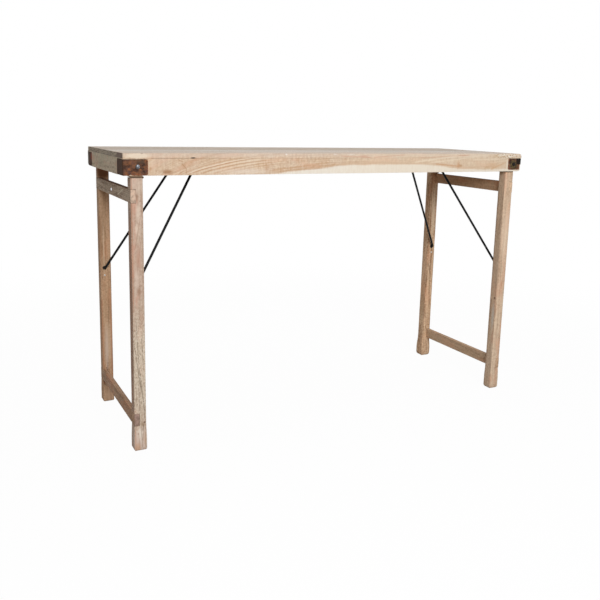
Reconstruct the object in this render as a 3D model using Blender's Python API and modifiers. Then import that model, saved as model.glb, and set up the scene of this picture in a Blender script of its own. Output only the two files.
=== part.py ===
"""Folding bar table: a plank top on an apron frame, two hinged leg frames and two iron stays.

X runs along the table, Y from the front to the back, and Z up from the floor. All sizes are in metres.
"""

import math

import bmesh
import bpy
from mathutils import Matrix, Vector

# The table as it stands open.
TABLE_LENGTH = 1.628
TABLE_WIDTH = 0.549
TABLE_HEIGHT = 1.000

# The gap left between pieces that touch.
FIT_GAP = 0.0003

# The top: boards side by side on a frame of four aprons.
PLANK_COUNT = 4
PLANK_THICKNESS = 0.016
PLANK_GAP = 0.0006
PLANK_ROUND = 0.0015
APRON_HEIGHT = 0.0542
APRON_THICKNESS = 0.026
WOOD_ROUND = 0.001

# Battens under the boards, which carry the keepers of the stays.
BATTEN_THICKNESS = 0.026
BATTEN_WIDTH = 0.070

# Iron corner straps, let in flush with the wood. The right pair is smaller than the left pair, whose
# recesses run out at the bottom of the aprons.
STRAP_THICKNESS = 0.002
STRAP_TOP_MARGIN = 0.0025
STRAP_CORNER_ROUND = 0.006
STRAP_END_LEAF = 0.076
LEFT_STRAP_LEAF = 0.0805
LEFT_STRAP_HEIGHT = 0.0507
LEFT_RECESS_OVERRUN = 0.004
RIGHT_STRAP_LEAF = 0.067
RIGHT_STRAP_HEIGHT = 0.0448

# Dome-headed bolts, each through a strap and an apron into the end of a hinge rail.
BOLT_HEAD_DIAMETER = 0.015
BOLT_HEAD_HEIGHT = 0.005
BOLT_SHANK_DIAMETER = 0.006
BOLT_GRIP_IN_RAIL = 0.022
BOLT_DROP = 0.0235
LEFT_BOLT_SETBACK = 0.048
RIGHT_BOLT_SETBACK = 0.039

# Leg frames: two square legs, with an upper rail and a stretcher let into their outer faces.
LEG_DEPTH = 0.0402
LEG_WIDTH = 0.0385
LEG_END_INSET = 0.0262
LEG_SIDE_INSET = 0.0110
LEG_EDGE_ROUND = 0.002
FOOT_HEIGHT = 0.060
FOOT_FLARE = 0.0018
FOOT_ROUND = 0.007
RAIL_THICKNESS = 0.017
RAIL_HEIGHT = 0.043
UPPER_RAIL_DROP = 0.0445
STRETCHER_HEIGHT = 0.042
STRETCHER_LIFT = 0.091

# Butt hinges at the inner top edges of the legs. Their leaves are let into the legs and the right hinge
# rail, and the left pair hangs on packing pads.
PAD_THICKNESS = 0.005
HINGE_LEAF_THICKNESS = 0.0015
HINGE_LEAF_LENGTH = 0.024
HINGE_LEAF_GAP = 0.0006
HINGE_EDGE_MARGIN = 0.0014
HINGE_PIN_DIAMETER = 0.0035
KNUCKLE_WALL = 0.0016
KNUCKLE_END_GAP = 0.0004
TURNING_GAP = 0.0003

# Iron stays: each is one bent rod, with its two ends in the legs and its crossbar in a keeper.
STAY_ROD_DIAMETER = 0.009
STAY_PIVOT_HEIGHT = 0.541
LEFT_PIVOT_SETBACK = 0.0157
RIGHT_PIVOT_SETBACK = 0.0180
LEFT_STAY_RUN = 0.2498
RIGHT_STAY_RUN = 0.2415
LEFT_CROSSBAR_LENGTH = 0.231
RIGHT_CROSSBAR_LENGTH = 0.199
STAY_END_LENGTH = 0.020
STAY_END_BEND = 0.010
STAY_CROSSBAR_BEND = 0.022
STAY_HOLE_GAP = 0.0005
CROSSBAR_GAP = 0.0012
KEEPER_THICKNESS = 0.0025
KEEPER_WIDTH = 0.060
KEEPER_FLANGE = 0.032
KEEPER_LIP = 0.003
KEEPER_MOUTH_SLOPE = math.radians(20)

# Nails and studs on the leg frames.
NAIL_HEAD_DIAMETER = 0.007
NAIL_HEAD_HEIGHT = 0.0016
NAIL_SHANK_DIAMETER = 0.0026
NAIL_SHANK_LENGTH = 0.018
NAIL_DROP = 0.029
RAIL_STUD_DIAMETER = 0.011
RAIL_STUD_HEIGHT = 0.0038
RAIL_STUD_SHANK_DIAMETER = 0.003
RAIL_STUD_SHANK_LENGTH = 0.012

# Levels and places that follow from the sizes above.
half_length = TABLE_LENGTH / 2
half_width = TABLE_WIDTH / 2
plank_underside = TABLE_HEIGHT - PLANK_THICKNESS
apron_top = plank_underside - FIT_GAP
apron_bottom = apron_top - APRON_HEIGHT
apron_inner_x = half_length - APRON_THICKNESS
apron_inner_y = half_width - APRON_THICKNESS
leg_outer_x = half_length - LEG_END_INSET
leg_inner_x = leg_outer_x - LEG_DEPTH
leg_x = (leg_outer_x + leg_inner_x) / 2
leg_outer_y = half_width - LEG_SIDE_INSET
leg_inner_y = leg_outer_y - LEG_WIDTH
leg_y = (leg_outer_y + leg_inner_y) / 2
rail_x = leg_outer_x - RAIL_THICKNESS / 2
upper_rail_z = apron_bottom - UPPER_RAIL_DROP - RAIL_HEIGHT / 2
stretcher_z = STRETCHER_LIFT + STRETCHER_HEIGHT / 2
batten_bottom = apron_top - BATTEN_THICKNESS
hinge_width = apron_inner_y - leg_inner_y - 2 * HINGE_EDGE_MARGIN
hinge_y = (apron_inner_y + leg_inner_y) / 2
pin_radius = HINGE_PIN_DIAMETER / 2
knuckle_bore = pin_radius + TURNING_GAP
knuckle_radius = knuckle_bore + KNUCKLE_WALL
hinge_x = leg_inner_x - knuckle_radius - TURNING_GAP
let_in_drop = HINGE_LEAF_GAP / 2
laid_on_drop = FIT_GAP + HINGE_LEAF_THICKNESS + HINGE_LEAF_GAP / 2
rod_radius = STAY_ROD_DIAMETER / 2
crossbar_z = batten_bottom - CROSSBAR_GAP - rod_radius

LEFT = -1
RIGHT = 1
FRONT = -1
BACK = 1
SIDE_NAMES = {LEFT: "left", RIGHT: "right"}
ROW_NAMES = {FRONT: "front", BACK: "back"}
STAY_RUN = {LEFT: LEFT_STAY_RUN, RIGHT: RIGHT_STAY_RUN}
CROSSBAR_LENGTH = {LEFT: LEFT_CROSSBAR_LENGTH, RIGHT: RIGHT_CROSSBAR_LENGTH}
pivot_x = {LEFT: leg_outer_x - LEFT_PIVOT_SETBACK, RIGHT: leg_outer_x - RIGHT_PIVOT_SETBACK}
crossbar_x = {side: pivot_x[side] - STAY_RUN[side] for side in (LEFT, RIGHT)}
ROUND_SIDES = 16
BEND_STEPS = 4
DOME_STEPS = 4
MERGE_DISTANCE = 0.00005
SHARP_ANGLE = math.radians(40)

# Clear the scene, then make one collection for the table and one for the shapes that cut it.
for old in list(bpy.data.objects):
    bpy.data.objects.remove(old)
table = bpy.data.collections.new("folding_bar_table")
cutters = bpy.data.collections.new("cutters")
for collection in (table, cutters):
    bpy.context.scene.collection.children.link(collection)


def finish(name, colour, roughness, metallic=0.0):
    """A plain material of one colour."""
    material = bpy.data.materials.new(name)
    material.use_nodes = True
    shader = material.node_tree.nodes["Principled BSDF"]
    shader.inputs["Base Color"].default_value = (*colour, 1.0)
    shader.inputs["Roughness"].default_value = roughness
    shader.inputs["Metallic"].default_value = metallic
    return material


top_wood = finish("bleached_top_wood", (0.50, 0.43, 0.36), 0.80)
apron_wood = finish("bleached_apron_wood", (0.70, 0.52, 0.36), 0.78)
leg_wood = finish("bleached_leg_wood", (0.60, 0.46, 0.35), 0.80)
rail_wood = finish("weathered_rail_wood", (0.36, 0.27, 0.20), 0.82)
hidden_wood = finish("bare_inner_wood", (0.46, 0.34, 0.24), 0.85)
rusty_iron = finish("rusty_strap_iron", (0.13, 0.07, 0.045), 0.75, 0.5)
black_iron = finish("black_stay_iron", (0.015, 0.015, 0.015), 0.50, 0.8)
bolt_steel = finish("worn_bolt_steel", (0.30, 0.30, 0.31), 0.40, 0.9)
nail_steel = finish("bright_nail_steel", (0.62, 0.61, 0.59), 0.35, 0.9)


def carrier(name, at, parent=None):
    """An empty on a joint's axis, which carries the pieces that turn about it."""
    empty = bpy.data.objects.new(name, None)
    table.objects.link(empty)
    empty.parent = parent
    empty.location = Vector(at) - (world_place(parent) if parent else Vector())
    return empty


def world_place(empty):
    """The place of an empty whose parents only move it, and don't turn it."""
    above = world_place(empty.parent) if empty.parent else Vector()
    return above + empty.location


def add_part(name, data, material, at, turn=(0.0, 0.0, 0.0), on=None):
    """One piece of the table, at a place in the world, carried by an empty where it moves."""
    part = bpy.data.objects.new(name, data)
    table.objects.link(part)
    data.materials.append(material)
    part.parent = on
    part.location = Vector(at) - (world_place(on) if on else Vector())
    part.rotation_euler = turn
    return part


def add_cutter(name, data, at, turn=(0.0, 0.0, 0.0)):
    """A shape that is cut out of, or joined to, a piece."""
    cutter = bpy.data.objects.new(name, data)
    cutters.objects.link(cutter)
    cutter.location = at
    cutter.rotation_euler = turn
    cutter.hide_render = True
    cutter.display_type = "WIRE"
    return cutter


def combine(part, cutter, operation="DIFFERENCE"):
    """Cut a shape out of a piece, or join it on."""
    boolean = part.modifiers.new(cutter.name, "BOOLEAN")
    boolean.object = cutter
    boolean.operation = operation
    boolean.solver = "EXACT"


def to_mesh(name, bm):
    mesh = bpy.data.meshes.new(name)
    bm.to_mesh(mesh)
    bm.free()
    return mesh


def box_mesh(name, size, rounding=0.0):
    """A board or block about its own middle, with its edges eased."""
    bm = bmesh.new()
    bmesh.ops.create_cube(bm, size=1.0, matrix=Matrix.Diagonal((*size, 1.0)))
    if rounding:
        bmesh.ops.bevel(bm, geom=bm.edges[:], offset=rounding, segments=1, profile=0.5, affect="EDGES")
    return to_mesh(name, bm)


def rod_mesh(name, radius, length):
    """A plain round bar along Z, about its own middle."""
    bm = bmesh.new()
    bmesh.ops.create_cone(bm, cap_ends=True, segments=ROUND_SIDES, radius1=radius, radius2=radius,
                          depth=length)
    mesh = to_mesh(name, bm)
    mesh.shade_smooth()
    mesh.set_sharp_from_angle(angle=SHARP_ANGLE)
    return mesh


ALONG_Y = (math.radians(90), 0.0, 0.0)
ALONG_X = (0.0, math.radians(90), 0.0)


def dome_headed(name, head_diameter, head_height, shank_diameter, shank_length, material, at, turn, on=None):
    """A turned fastener: a domed head over its place, and a shank that runs down from it."""
    head = head_diameter / 2
    shank = shank_diameter / 2
    profile = []
    for step in range(DOME_STEPS + 1):
        angle = math.radians(90) * step / DOME_STEPS
        profile.append((head * math.sin(angle), 0.0, head_height * math.cos(angle)))
    profile += [(shank, 0.0, 0.0), (shank, 0.0, -shank_length), (0.0, 0.0, -shank_length - shank)]
    bm = bmesh.new()
    corners = [bm.verts.new(point) for point in profile]
    for upper, lower in zip(corners, corners[1:]):
        bm.edges.new((upper, lower))
    part = add_part(name, to_mesh(name, bm), material, at, turn, on)
    turned = part.modifiers.new("turned", "SCREW")
    turned.axis = "Z"
    turned.steps = ROUND_SIDES
    turned.render_steps = ROUND_SIDES
    turned.use_merge_vertices = True
    turned.merge_threshold = MERGE_DISTANCE
    return part


def make_planks():
    """Boards along the table, edge to edge, numbered from the front."""
    width = (TABLE_WIDTH - (PLANK_COUNT - 1) * PLANK_GAP) / PLANK_COUNT
    for number in range(PLANK_COUNT):
        y = -half_width + width / 2 + number * (width + PLANK_GAP)
        name = f"top_plank_{number + 1}"
        mesh = box_mesh(name, (TABLE_LENGTH, width, PLANK_THICKNESS), PLANK_ROUND)
        add_part(name, mesh, top_wood, (0.0, y, TABLE_HEIGHT - PLANK_THICKNESS / 2))


def make_apron_frame():
    """Long aprons at the front and back, with the end aprons and hinge rails between them."""
    z = apron_top - APRON_HEIGHT / 2
    inner_length = 2 * (apron_inner_y - FIT_GAP)
    rail_inner_x = leg_inner_x
    rail_outer_x = apron_inner_x - FIT_GAP
    parts = {}
    for row in (FRONT, BACK):
        name = f"{ROW_NAMES[row]}_apron"
        mesh = box_mesh(name, (TABLE_LENGTH, APRON_THICKNESS, APRON_HEIGHT), WOOD_ROUND)
        parts[name] = add_part(name, mesh, apron_wood, (0.0, row * (half_width - APRON_THICKNESS / 2), z))
    for side in (LEFT, RIGHT):
        name = f"{SIDE_NAMES[side]}_end_apron"
        mesh = box_mesh(name, (APRON_THICKNESS, inner_length, APRON_HEIGHT), WOOD_ROUND)
        parts[name] = add_part(name, mesh, apron_wood, (side * (half_length - APRON_THICKNESS / 2), 0.0, z))
        name = f"{SIDE_NAMES[side]}_hinge_rail"
        mesh = box_mesh(name, (rail_outer_x - rail_inner_x, inner_length, APRON_HEIGHT), WOOD_ROUND)
        parts[name] = add_part(name, mesh, hidden_wood, (side * (rail_outer_x + rail_inner_x) / 2, 0.0, z))
    return parts


def make_battens():
    """A cross batten over the crossbar of each stay."""
    length = 2 * (apron_inner_y - FIT_GAP)
    for side in (LEFT, RIGHT):
        name = f"{SIDE_NAMES[side]}_stay_batten"
        mesh = box_mesh(name, (BATTEN_WIDTH, length, BATTEN_THICKNESS), WOOD_ROUND)
        add_part(name, mesh, hidden_wood, (side * crossbar_x[side], 0.0, apron_top - BATTEN_THICKNESS / 2))


def strap_mesh(name, side, row, long_leaf, height):
    """A flat strip with rounded corners, folded round the corner of the table along its inner face."""
    bm = bmesh.new()
    bmesh.ops.create_grid(bm, x_segments=2, y_segments=1, size=0.5)
    for vertex in bm.verts:
        leaf = long_leaf if vertex.co.x > 0 else STRAP_END_LEAF
        vertex.co.x *= 2 * (leaf - STRAP_THICKNESS)
        vertex.co.y *= height
    free_corners = [vertex for vertex in bm.verts if abs(vertex.co.x) > FIT_GAP]
    bmesh.ops.bevel(bm, geom=free_corners, offset=STRAP_CORNER_ROUND, segments=BEND_STEPS, profile=0.5,
                    affect="VERTICES")
    corner_x = half_length - STRAP_THICKNESS
    corner_y = half_width - STRAP_THICKNESS
    for vertex in bm.verts:
        along, up = vertex.co.x, vertex.co.y
        vertex.co = (side * (corner_x - max(along, 0.0)), row * (corner_y + min(along, 0.0)), up)
    if side != row:
        bmesh.ops.reverse_faces(bm, faces=bm.faces[:])
    return to_mesh(name, bm)


def let_in_strap(corner, side, row, long_leaf, low, high, long_apron, end_apron):
    """Cut the room for a strap out of the two aprons at a corner, with an even gap behind it."""
    room = 2 * (STRAP_THICKNESS + FIT_GAP)
    height = high - low
    long_size = (2 * (long_leaf + FIT_GAP), room, height)
    corner_at = (side * half_length, row * half_width, (low + high) / 2)
    end_size = (room, 2 * (STRAP_END_LEAF + FIT_GAP), height)
    for apron, size, name in ((long_apron, long_size, "long"), (long_apron, end_size, "return"),
                              (end_apron, end_size, "end")):
        cutter_name = f"{corner}_{name}_recess"
        combine(apron, add_cutter(cutter_name, box_mesh(cutter_name, size), corner_at))


def make_corner_straps(parts):
    """An L of strap iron round each corner, with a bolt through its long leaf."""
    strap_top = apron_top - STRAP_TOP_MARGIN
    bolt_z = strap_top - BOLT_DROP
    leaves = {LEFT: LEFT_STRAP_LEAF, RIGHT: RIGHT_STRAP_LEAF}
    heights = {LEFT: LEFT_STRAP_HEIGHT, RIGHT: RIGHT_STRAP_HEIGHT}
    overruns = {LEFT: LEFT_RECESS_OVERRUN, RIGHT: FIT_GAP}
    setbacks = {LEFT: LEFT_BOLT_SETBACK, RIGHT: RIGHT_BOLT_SETBACK}
    shank_length = FIT_GAP + APRON_THICKNESS + FIT_GAP + BOLT_GRIP_IN_RAIL
    hole_radius = BOLT_SHANK_DIAMETER / 2 + FIT_GAP
    for side in (LEFT, RIGHT):
        for row in (FRONT, BACK):
            corner = f"{ROW_NAMES[row]}_{SIDE_NAMES[side]}"
            name = f"{corner}_corner_strap"
            strap_bottom = strap_top - heights[side]
            mesh = strap_mesh(name, side, row, leaves[side], heights[side])
            strap = add_part(name, mesh, rusty_iron, (0.0, 0.0, (strap_top + strap_bottom) / 2))
            thickness = strap.modifiers.new("thickness", "SOLIDIFY")
            thickness.thickness = STRAP_THICKNESS
            thickness.offset = 1.0
            thickness.use_even_offset = True
            long_apron = parts[f"{ROW_NAMES[row]}_apron"]
            end_apron = parts[f"{SIDE_NAMES[side]}_end_apron"]
            let_in_strap(corner, side, row, leaves[side], strap_bottom - overruns[side], strap_top + FIT_GAP,
                         long_apron, end_apron)

            bolt_at = (side * (half_length - setbacks[side]), row * (half_width + FIT_GAP), bolt_z)
            dome_headed(f"{corner}_strap_bolt", BOLT_HEAD_DIAMETER, BOLT_HEAD_HEIGHT, BOLT_SHANK_DIAMETER,
                        shank_length, bolt_steel, bolt_at, (-row * math.radians(90), 0.0, 0.0))
            hole = rod_mesh(f"{corner}_bolt_hole", hole_radius, 2 * (shank_length + BOLT_SHANK_DIAMETER))
            drill = add_cutter(f"{corner}_bolt_hole", hole, bolt_at, ALONG_Y)
            for part in (strap, long_apron, parts[f"{SIDE_NAMES[side]}_hinge_rail"]):
                combine(part, drill)


def hinge_level(side):
    """Height of a leg frame's hinge axis: under the packing pads on the left, and let in on the right."""
    drop = {LEFT: FIT_GAP + PAD_THICKNESS + laid_on_drop, RIGHT: let_in_drop}
    return apron_bottom - drop[side]


def make_hinge_pads():
    """A thin wooden pad over each left leg, so that the left frame folds flat over the right one."""
    for row in (FRONT, BACK):
        name = f"{ROW_NAMES[row]}_left_hinge_pad"
        mesh = box_mesh(name, (LEG_DEPTH, LEG_WIDTH, PAD_THICKNESS), WOOD_ROUND)
        add_part(name, mesh, leg_wood, (-leg_x, row * leg_y, apron_bottom - FIT_GAP - PAD_THICKNESS / 2))


def make_hinge(side, row, frame_axis, leg, rail):
    """A butt hinge: a leaf under the top, a leaf on the leg, and the pin that they turn on."""
    place = Vector((side * hinge_x, row * hinge_y, hinge_level(side)))
    name = f"{ROW_NAMES[row]}_{SIDE_NAMES[side]}_hinge"
    third = hinge_width / 3
    leaf_size = (HINGE_LEAF_LENGTH, hinge_width, HINGE_LEAF_THICKNESS)
    leaf_z = (HINGE_LEAF_GAP + HINGE_LEAF_THICKNESS) / 2
    leaf_x = side * HINGE_LEAF_LENGTH / 2
    recess_size = [length + 2 * FIT_GAP for length in leaf_size]
    let_in = [(leg, "leg", -leaf_z)]
    if side == RIGHT:
        let_in.append((rail, "rail", leaf_z))
    for wood, wood_name, z in let_in:
        recess = box_mesh("leaf_recess", recess_size)
        combine(wood, add_cutter(f"{name}_{wood_name}_recess", recess, place + Vector((leaf_x, 0.0, z))))
    room = 2 * (knuckle_radius + TURNING_GAP)
    end_knuckles = (-third, third)
    middle_knuckle = (0.0,)
    leaves = (("top_leaf", 1, end_knuckles, middle_knuckle, None),
              ("leg_leaf", -1, middle_knuckle, end_knuckles, frame_axis))
    for leaf_name, up, own_knuckles, other_knuckles, on in leaves:
        leaf = add_part(f"{name}_{leaf_name}", box_mesh(leaf_name, leaf_size), black_iron,
                        place + Vector((leaf_x, 0.0, up * leaf_z)), on=on)
        for number, y in enumerate(other_knuckles):
            cut_size = (room, third + KNUCKLE_END_GAP, room)
            cut = box_mesh("knuckle_room", cut_size)
            combine(leaf, add_cutter(f"{leaf.name}_room_{number}", cut, place + Vector((0.0, y, 0.0))))
        for number, y in enumerate(own_knuckles):
            knuckle = rod_mesh("knuckle", knuckle_radius, third - KNUCKLE_END_GAP)
            knuckle_at = place + Vector((0.0, y, 0.0))
            combine(leaf, add_cutter(f"{leaf.name}_knuckle_{number}", knuckle, knuckle_at, ALONG_Y), "UNION")
        bore = rod_mesh("pin_bore", knuckle_bore, 2 * hinge_width)
        combine(leaf, add_cutter(f"{leaf.name}_bore", bore, place, ALONG_Y))
    add_part(f"{name}_pin", rod_mesh("hinge_pin", pin_radius, hinge_width), black_iron, place, ALONG_Y)


def leg_mesh(name, length):
    """A square leg from the floor up, with a worn foot that is a little fuller than the leg."""
    bm = bmesh.new()
    size = Matrix.Diagonal((LEG_DEPTH, LEG_WIDTH, length, 1.0))
    bmesh.ops.create_cube(bm, size=1.0, matrix=Matrix.Translation((0.0, 0.0, length / 2)) @ size)
    worn = FOOT_ROUND * (1 - math.cos(math.radians(45)))
    levels = {0.0: FOOT_FLARE - FOOT_ROUND, worn: FOOT_FLARE - worn, FOOT_ROUND: FOOT_FLARE,
              FOOT_HEIGHT / 2: FOOT_FLARE, FOOT_HEIGHT: 0.0}
    for level in list(levels)[1:]:
        geometry = bm.verts[:] + bm.edges[:] + bm.faces[:]
        bmesh.ops.bisect_plane(bm, geom=geometry, plane_co=(0.0, 0.0, level), plane_no=(0.0, 0.0, 1.0))
    for vertex in bm.verts:
        spread = next((out for level, out in levels.items() if abs(vertex.co.z - level) < FIT_GAP), 0.0)
        vertex.co.x += spread * math.copysign(1.0, vertex.co.x)
        vertex.co.y += spread * math.copysign(1.0, vertex.co.y)
    upright = [edge for edge in bm.edges if abs(edge.verts[0].co.z - edge.verts[1].co.z) > FIT_GAP]
    bmesh.ops.bevel(bm, geom=upright, offset=LEG_EDGE_ROUND, segments=1, profile=0.5, affect="EDGES")
    return to_mesh(name, bm)


def make_leg_frame(side, frame_axis):
    """Two legs with an upper rail and a stretcher, housed flush in their outer faces."""
    side_name = SIDE_NAMES[side]
    length = hinge_level(side) - let_in_drop
    legs = {}
    for row in (FRONT, BACK):
        name = f"{ROW_NAMES[row]}_{side_name}_leg"
        foot_at = (side * leg_x, row * leg_y, 0.0)
        legs[row] = add_part(name, leg_mesh(name, length), leg_wood, foot_at, on=frame_axis)

    rails = {}
    for rail_name, height, z in (("upper_rail", RAIL_HEIGHT, upper_rail_z),
                                 ("stretcher", STRETCHER_HEIGHT, stretcher_z)):
        name = f"{side_name}_{rail_name}"
        mesh = box_mesh(name, (RAIL_THICKNESS, 2 * leg_outer_y, height), WOOD_ROUND)
        rails[rail_name] = add_part(name, mesh, rail_wood, (side * rail_x, 0.0, z), on=frame_axis)
        slot_depth = RAIL_THICKNESS + FIT_GAP
        slot = box_mesh(f"{name}_slot", (2 * slot_depth, 2 * half_width, height + 2 * FIT_GAP))
        housing = add_cutter(f"{name}_slot", slot, (side * leg_outer_x, 0.0, z))
        for leg in legs.values():
            combine(leg, housing)

    for row in (FRONT, BACK):
        corner = f"{ROW_NAMES[row]}_{side_name}"
        drill_into(legs[row], f"{corner}_stay_hole", rod_radius + STAY_HOLE_GAP, STAY_END_LENGTH + FIT_GAP,
                   (side * pivot_x[side], row * leg_inner_y, STAY_PIVOT_HEIGHT), ALONG_Y)
        nail_at = (side * pivot_x[side], row * (leg_inner_y - FIT_GAP), STAY_PIVOT_HEIGHT - NAIL_DROP)
        dome_headed(f"{corner}_stay_nail", NAIL_HEAD_DIAMETER, NAIL_HEAD_HEIGHT, NAIL_SHANK_DIAMETER,
                    NAIL_SHANK_LENGTH, nail_steel, nail_at, (row * math.radians(90), 0.0, 0.0), frame_axis)
        drill_into(legs[row], f"{corner}_nail_hole", NAIL_SHANK_DIAMETER / 2 + FIT_GAP,
                   NAIL_SHANK_LENGTH + NAIL_SHANK_DIAMETER, nail_at, ALONG_Y)

    if side == LEFT:
        stud_at = (side * (leg_outer_x + FIT_GAP), 0.0, upper_rail_z)
        stud_turn = (0.0, side * math.radians(90), 0.0)
        dome_headed("left_rail_stud", RAIL_STUD_DIAMETER, RAIL_STUD_HEIGHT, RAIL_STUD_SHANK_DIAMETER,
                    RAIL_STUD_SHANK_LENGTH, nail_steel, stud_at, stud_turn, frame_axis)
        drill_into(rails["upper_rail"], "left_rail_stud_hole", RAIL_STUD_SHANK_DIAMETER / 2 + FIT_GAP,
                   RAIL_STUD_SHANK_LENGTH + RAIL_STUD_SHANK_DIAMETER, stud_at, ALONG_X)
    return legs


def drill_into(part, name, radius, depth, at, turn):
    """A blind hole of a depth from a place on a piece's face."""
    combine(part, add_cutter(name, rod_mesh(name, radius, 2 * depth), at, turn))


def rounded_path(corners, radii):
    """Points along a bent rod: straight runs, with an arc of a radius at each inner corner."""
    points = [corners[0]]
    for before, corner, after, radius in zip(corners, corners[1:], corners[2:], radii):
        back = (before - corner).normalized()
        ahead = (after - corner).normalized()
        half_angle = back.angle(ahead) / 2
        centre = corner + (back + ahead).normalized() * radius / math.sin(half_angle)
        start = corner + back * radius / math.tan(half_angle)
        axis = back.cross(ahead).normalized()
        turn = math.pi - 2 * half_angle
        for step in range(BEND_STEPS + 1):
            points.append(centre + Matrix.Rotation(-turn * step / BEND_STEPS, 3, axis) @ (start - centre))
    points.append(corners[-1])
    return points


def make_stay(side, stay_axis):
    """One iron rod: its ends turned into the legs, two arms leaning in, and a crossbar between them."""
    rise = crossbar_z - STAY_PIVOT_HEIGHT
    near_half = [Vector((0.0, -leg_inner_y - STAY_END_LENGTH, 0.0)),
                 Vector((0.0, -leg_inner_y + STAY_END_BEND, 0.0)),
                 Vector((-side * STAY_RUN[side], -CROSSBAR_LENGTH[side] / 2, rise))]
    corners = near_half + [Vector((point.x, -point.y, point.z)) for point in reversed(near_half)]
    radii = (STAY_END_BEND, STAY_CROSSBAR_BEND, STAY_CROSSBAR_BEND, STAY_END_BEND)
    path = rounded_path(corners, radii)

    name = f"{SIDE_NAMES[side]}_stay"
    curve = bpy.data.curves.new(name, "CURVE")
    curve.dimensions = "3D"
    curve.bevel_depth = rod_radius
    curve.bevel_resolution = ROUND_SIDES // 4 - 1
    curve.use_fill_caps = True
    spline = curve.splines.new("POLY")
    spline.points.add(len(path) - 1)
    for point, place in zip(spline.points, path):
        point.co = (*place, 1.0)
    add_part(name, curve, black_iron, (side * pivot_x[side], 0.0, STAY_PIVOT_HEIGHT), on=stay_axis)


def make_keeper(side):
    """A bent iron plate under the batten, whose lip holds the crossbar and opens towards the middle."""
    slope_sine = math.sin(KEEPER_MOUTH_SLOPE)
    slope_cosine = math.cos(KEEPER_MOUTH_SLOPE)
    reach = rod_radius + CROSSBAR_GAP
    flange_z = reach - FIT_GAP

    def lip_z(x):
        return (x * slope_sine - reach) / slope_cosine

    bends = ((reach + KEEPER_FLANGE, flange_z), (reach, flange_z), (reach, lip_z(reach)),
             (-KEEPER_LIP, lip_z(-KEEPER_LIP)))
    bm = bmesh.new()
    line = [bm.verts.new((x, -KEEPER_WIDTH / 2, z)) for x, z in bends]
    edges = [bm.edges.new(pair) for pair in zip(line, line[1:])]
    swept = bmesh.ops.extrude_edge_only(bm, edges=edges)["geom"]
    for vertex in swept:
        if isinstance(vertex, bmesh.types.BMVert):
            vertex.co.y += KEEPER_WIDTH
    bm.normal_update()
    if any(face.normal.z < 0 for face in bm.faces):
        bmesh.ops.reverse_faces(bm, faces=bm.faces[:])
    name = f"{SIDE_NAMES[side]}_stay_keeper"
    turn = (0.0, 0.0, 0.0 if side == RIGHT else math.radians(180))
    keeper = add_part(name, to_mesh(name, bm), black_iron, (side * crossbar_x[side], 0.0, crossbar_z), turn)
    thickness = keeper.modifiers.new("thickness", "SOLIDIFY")
    thickness.thickness = KEEPER_THICKNESS
    thickness.offset = -1.0
    thickness.use_even_offset = True


make_planks()
apron_parts = make_apron_frame()
make_battens()
make_corner_straps(apron_parts)
make_hinge_pads()
for side in (LEFT, RIGHT):
    fold_axis = carrier(f"{SIDE_NAMES[side]}_fold_axis", (side * hinge_x, 0.0, hinge_level(side)))
    swing_at = (side * pivot_x[side], 0.0, STAY_PIVOT_HEIGHT)
    swing_axis = carrier(f"{SIDE_NAMES[side]}_stay_axis", swing_at, fold_axis)
    legs = make_leg_frame(side, fold_axis)
    for row in (FRONT, BACK):
        make_hinge(side, row, fold_axis, legs[row], apron_parts[f"{SIDE_NAMES[side]}_hinge_rail"])
    make_stay(side, swing_axis)
    make_keeper(side)
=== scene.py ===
import math

import bmesh
import bpy
from mathutils import Matrix, Vector, noise


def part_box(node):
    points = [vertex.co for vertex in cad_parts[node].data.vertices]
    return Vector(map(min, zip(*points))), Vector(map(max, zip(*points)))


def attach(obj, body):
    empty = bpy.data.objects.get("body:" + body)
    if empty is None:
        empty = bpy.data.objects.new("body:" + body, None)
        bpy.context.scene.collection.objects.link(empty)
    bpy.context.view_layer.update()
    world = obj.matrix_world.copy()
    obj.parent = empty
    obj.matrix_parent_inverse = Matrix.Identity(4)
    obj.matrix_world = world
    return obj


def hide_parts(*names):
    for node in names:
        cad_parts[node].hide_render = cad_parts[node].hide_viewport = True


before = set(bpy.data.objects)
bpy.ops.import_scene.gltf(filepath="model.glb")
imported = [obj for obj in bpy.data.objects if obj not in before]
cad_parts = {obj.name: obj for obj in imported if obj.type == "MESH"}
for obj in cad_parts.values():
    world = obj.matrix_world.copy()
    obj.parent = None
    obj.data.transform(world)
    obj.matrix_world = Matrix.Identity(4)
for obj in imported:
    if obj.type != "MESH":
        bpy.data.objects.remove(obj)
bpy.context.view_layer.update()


# Top boards: four planks of bleached hardwood laid edge to edge along the table and fixed down on the
# aprons. Their edges are rubbed and knocked, and the right end of the front board and the back left
# corner of the back one are worn round.

FRONT, BACK, LEFT, RIGHT = -1, 1, -1, 1


def corners(node):
    """The lowest and highest corner of a plain piece."""
    low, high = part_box(node)
    return Vector(low), Vector(high)


front_board_low, front_board_high = corners("top_plank_1")
TOP_END = round(front_board_high.x, 4)
TOP_SIDE = round(-front_board_low.y, 4)
TOP_FACE = round(front_board_high.z, 4)
NEAR = 0.001
WEAR_PATCH = 0.035


def band(bm, axis, level):
    """A line of edges right round a piece at a level on an axis."""
    square = Vector((0.0, 0.0, 0.0))
    square[axis] = 1.0
    bmesh.ops.bisect_plane(bm, geom=bm.verts[:] + bm.edges[:] + bm.faces[:], plane_co=square * level,
                           plane_no=square)


def bands(bm, axis, low, high, count):
    """Bands that part a length into equal steps."""
    for cut in range(1, count):
        band(bm, axis, low + (high - low) * cut / count)


def ease(bm, edges, offset, segments=2):
    """Takes the sharpness off edges."""
    bmesh.ops.bevel(bm, geom=edges, offset=offset, segments=segments, profile=0.5, affect="EDGES",
                    material=-1)


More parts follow.
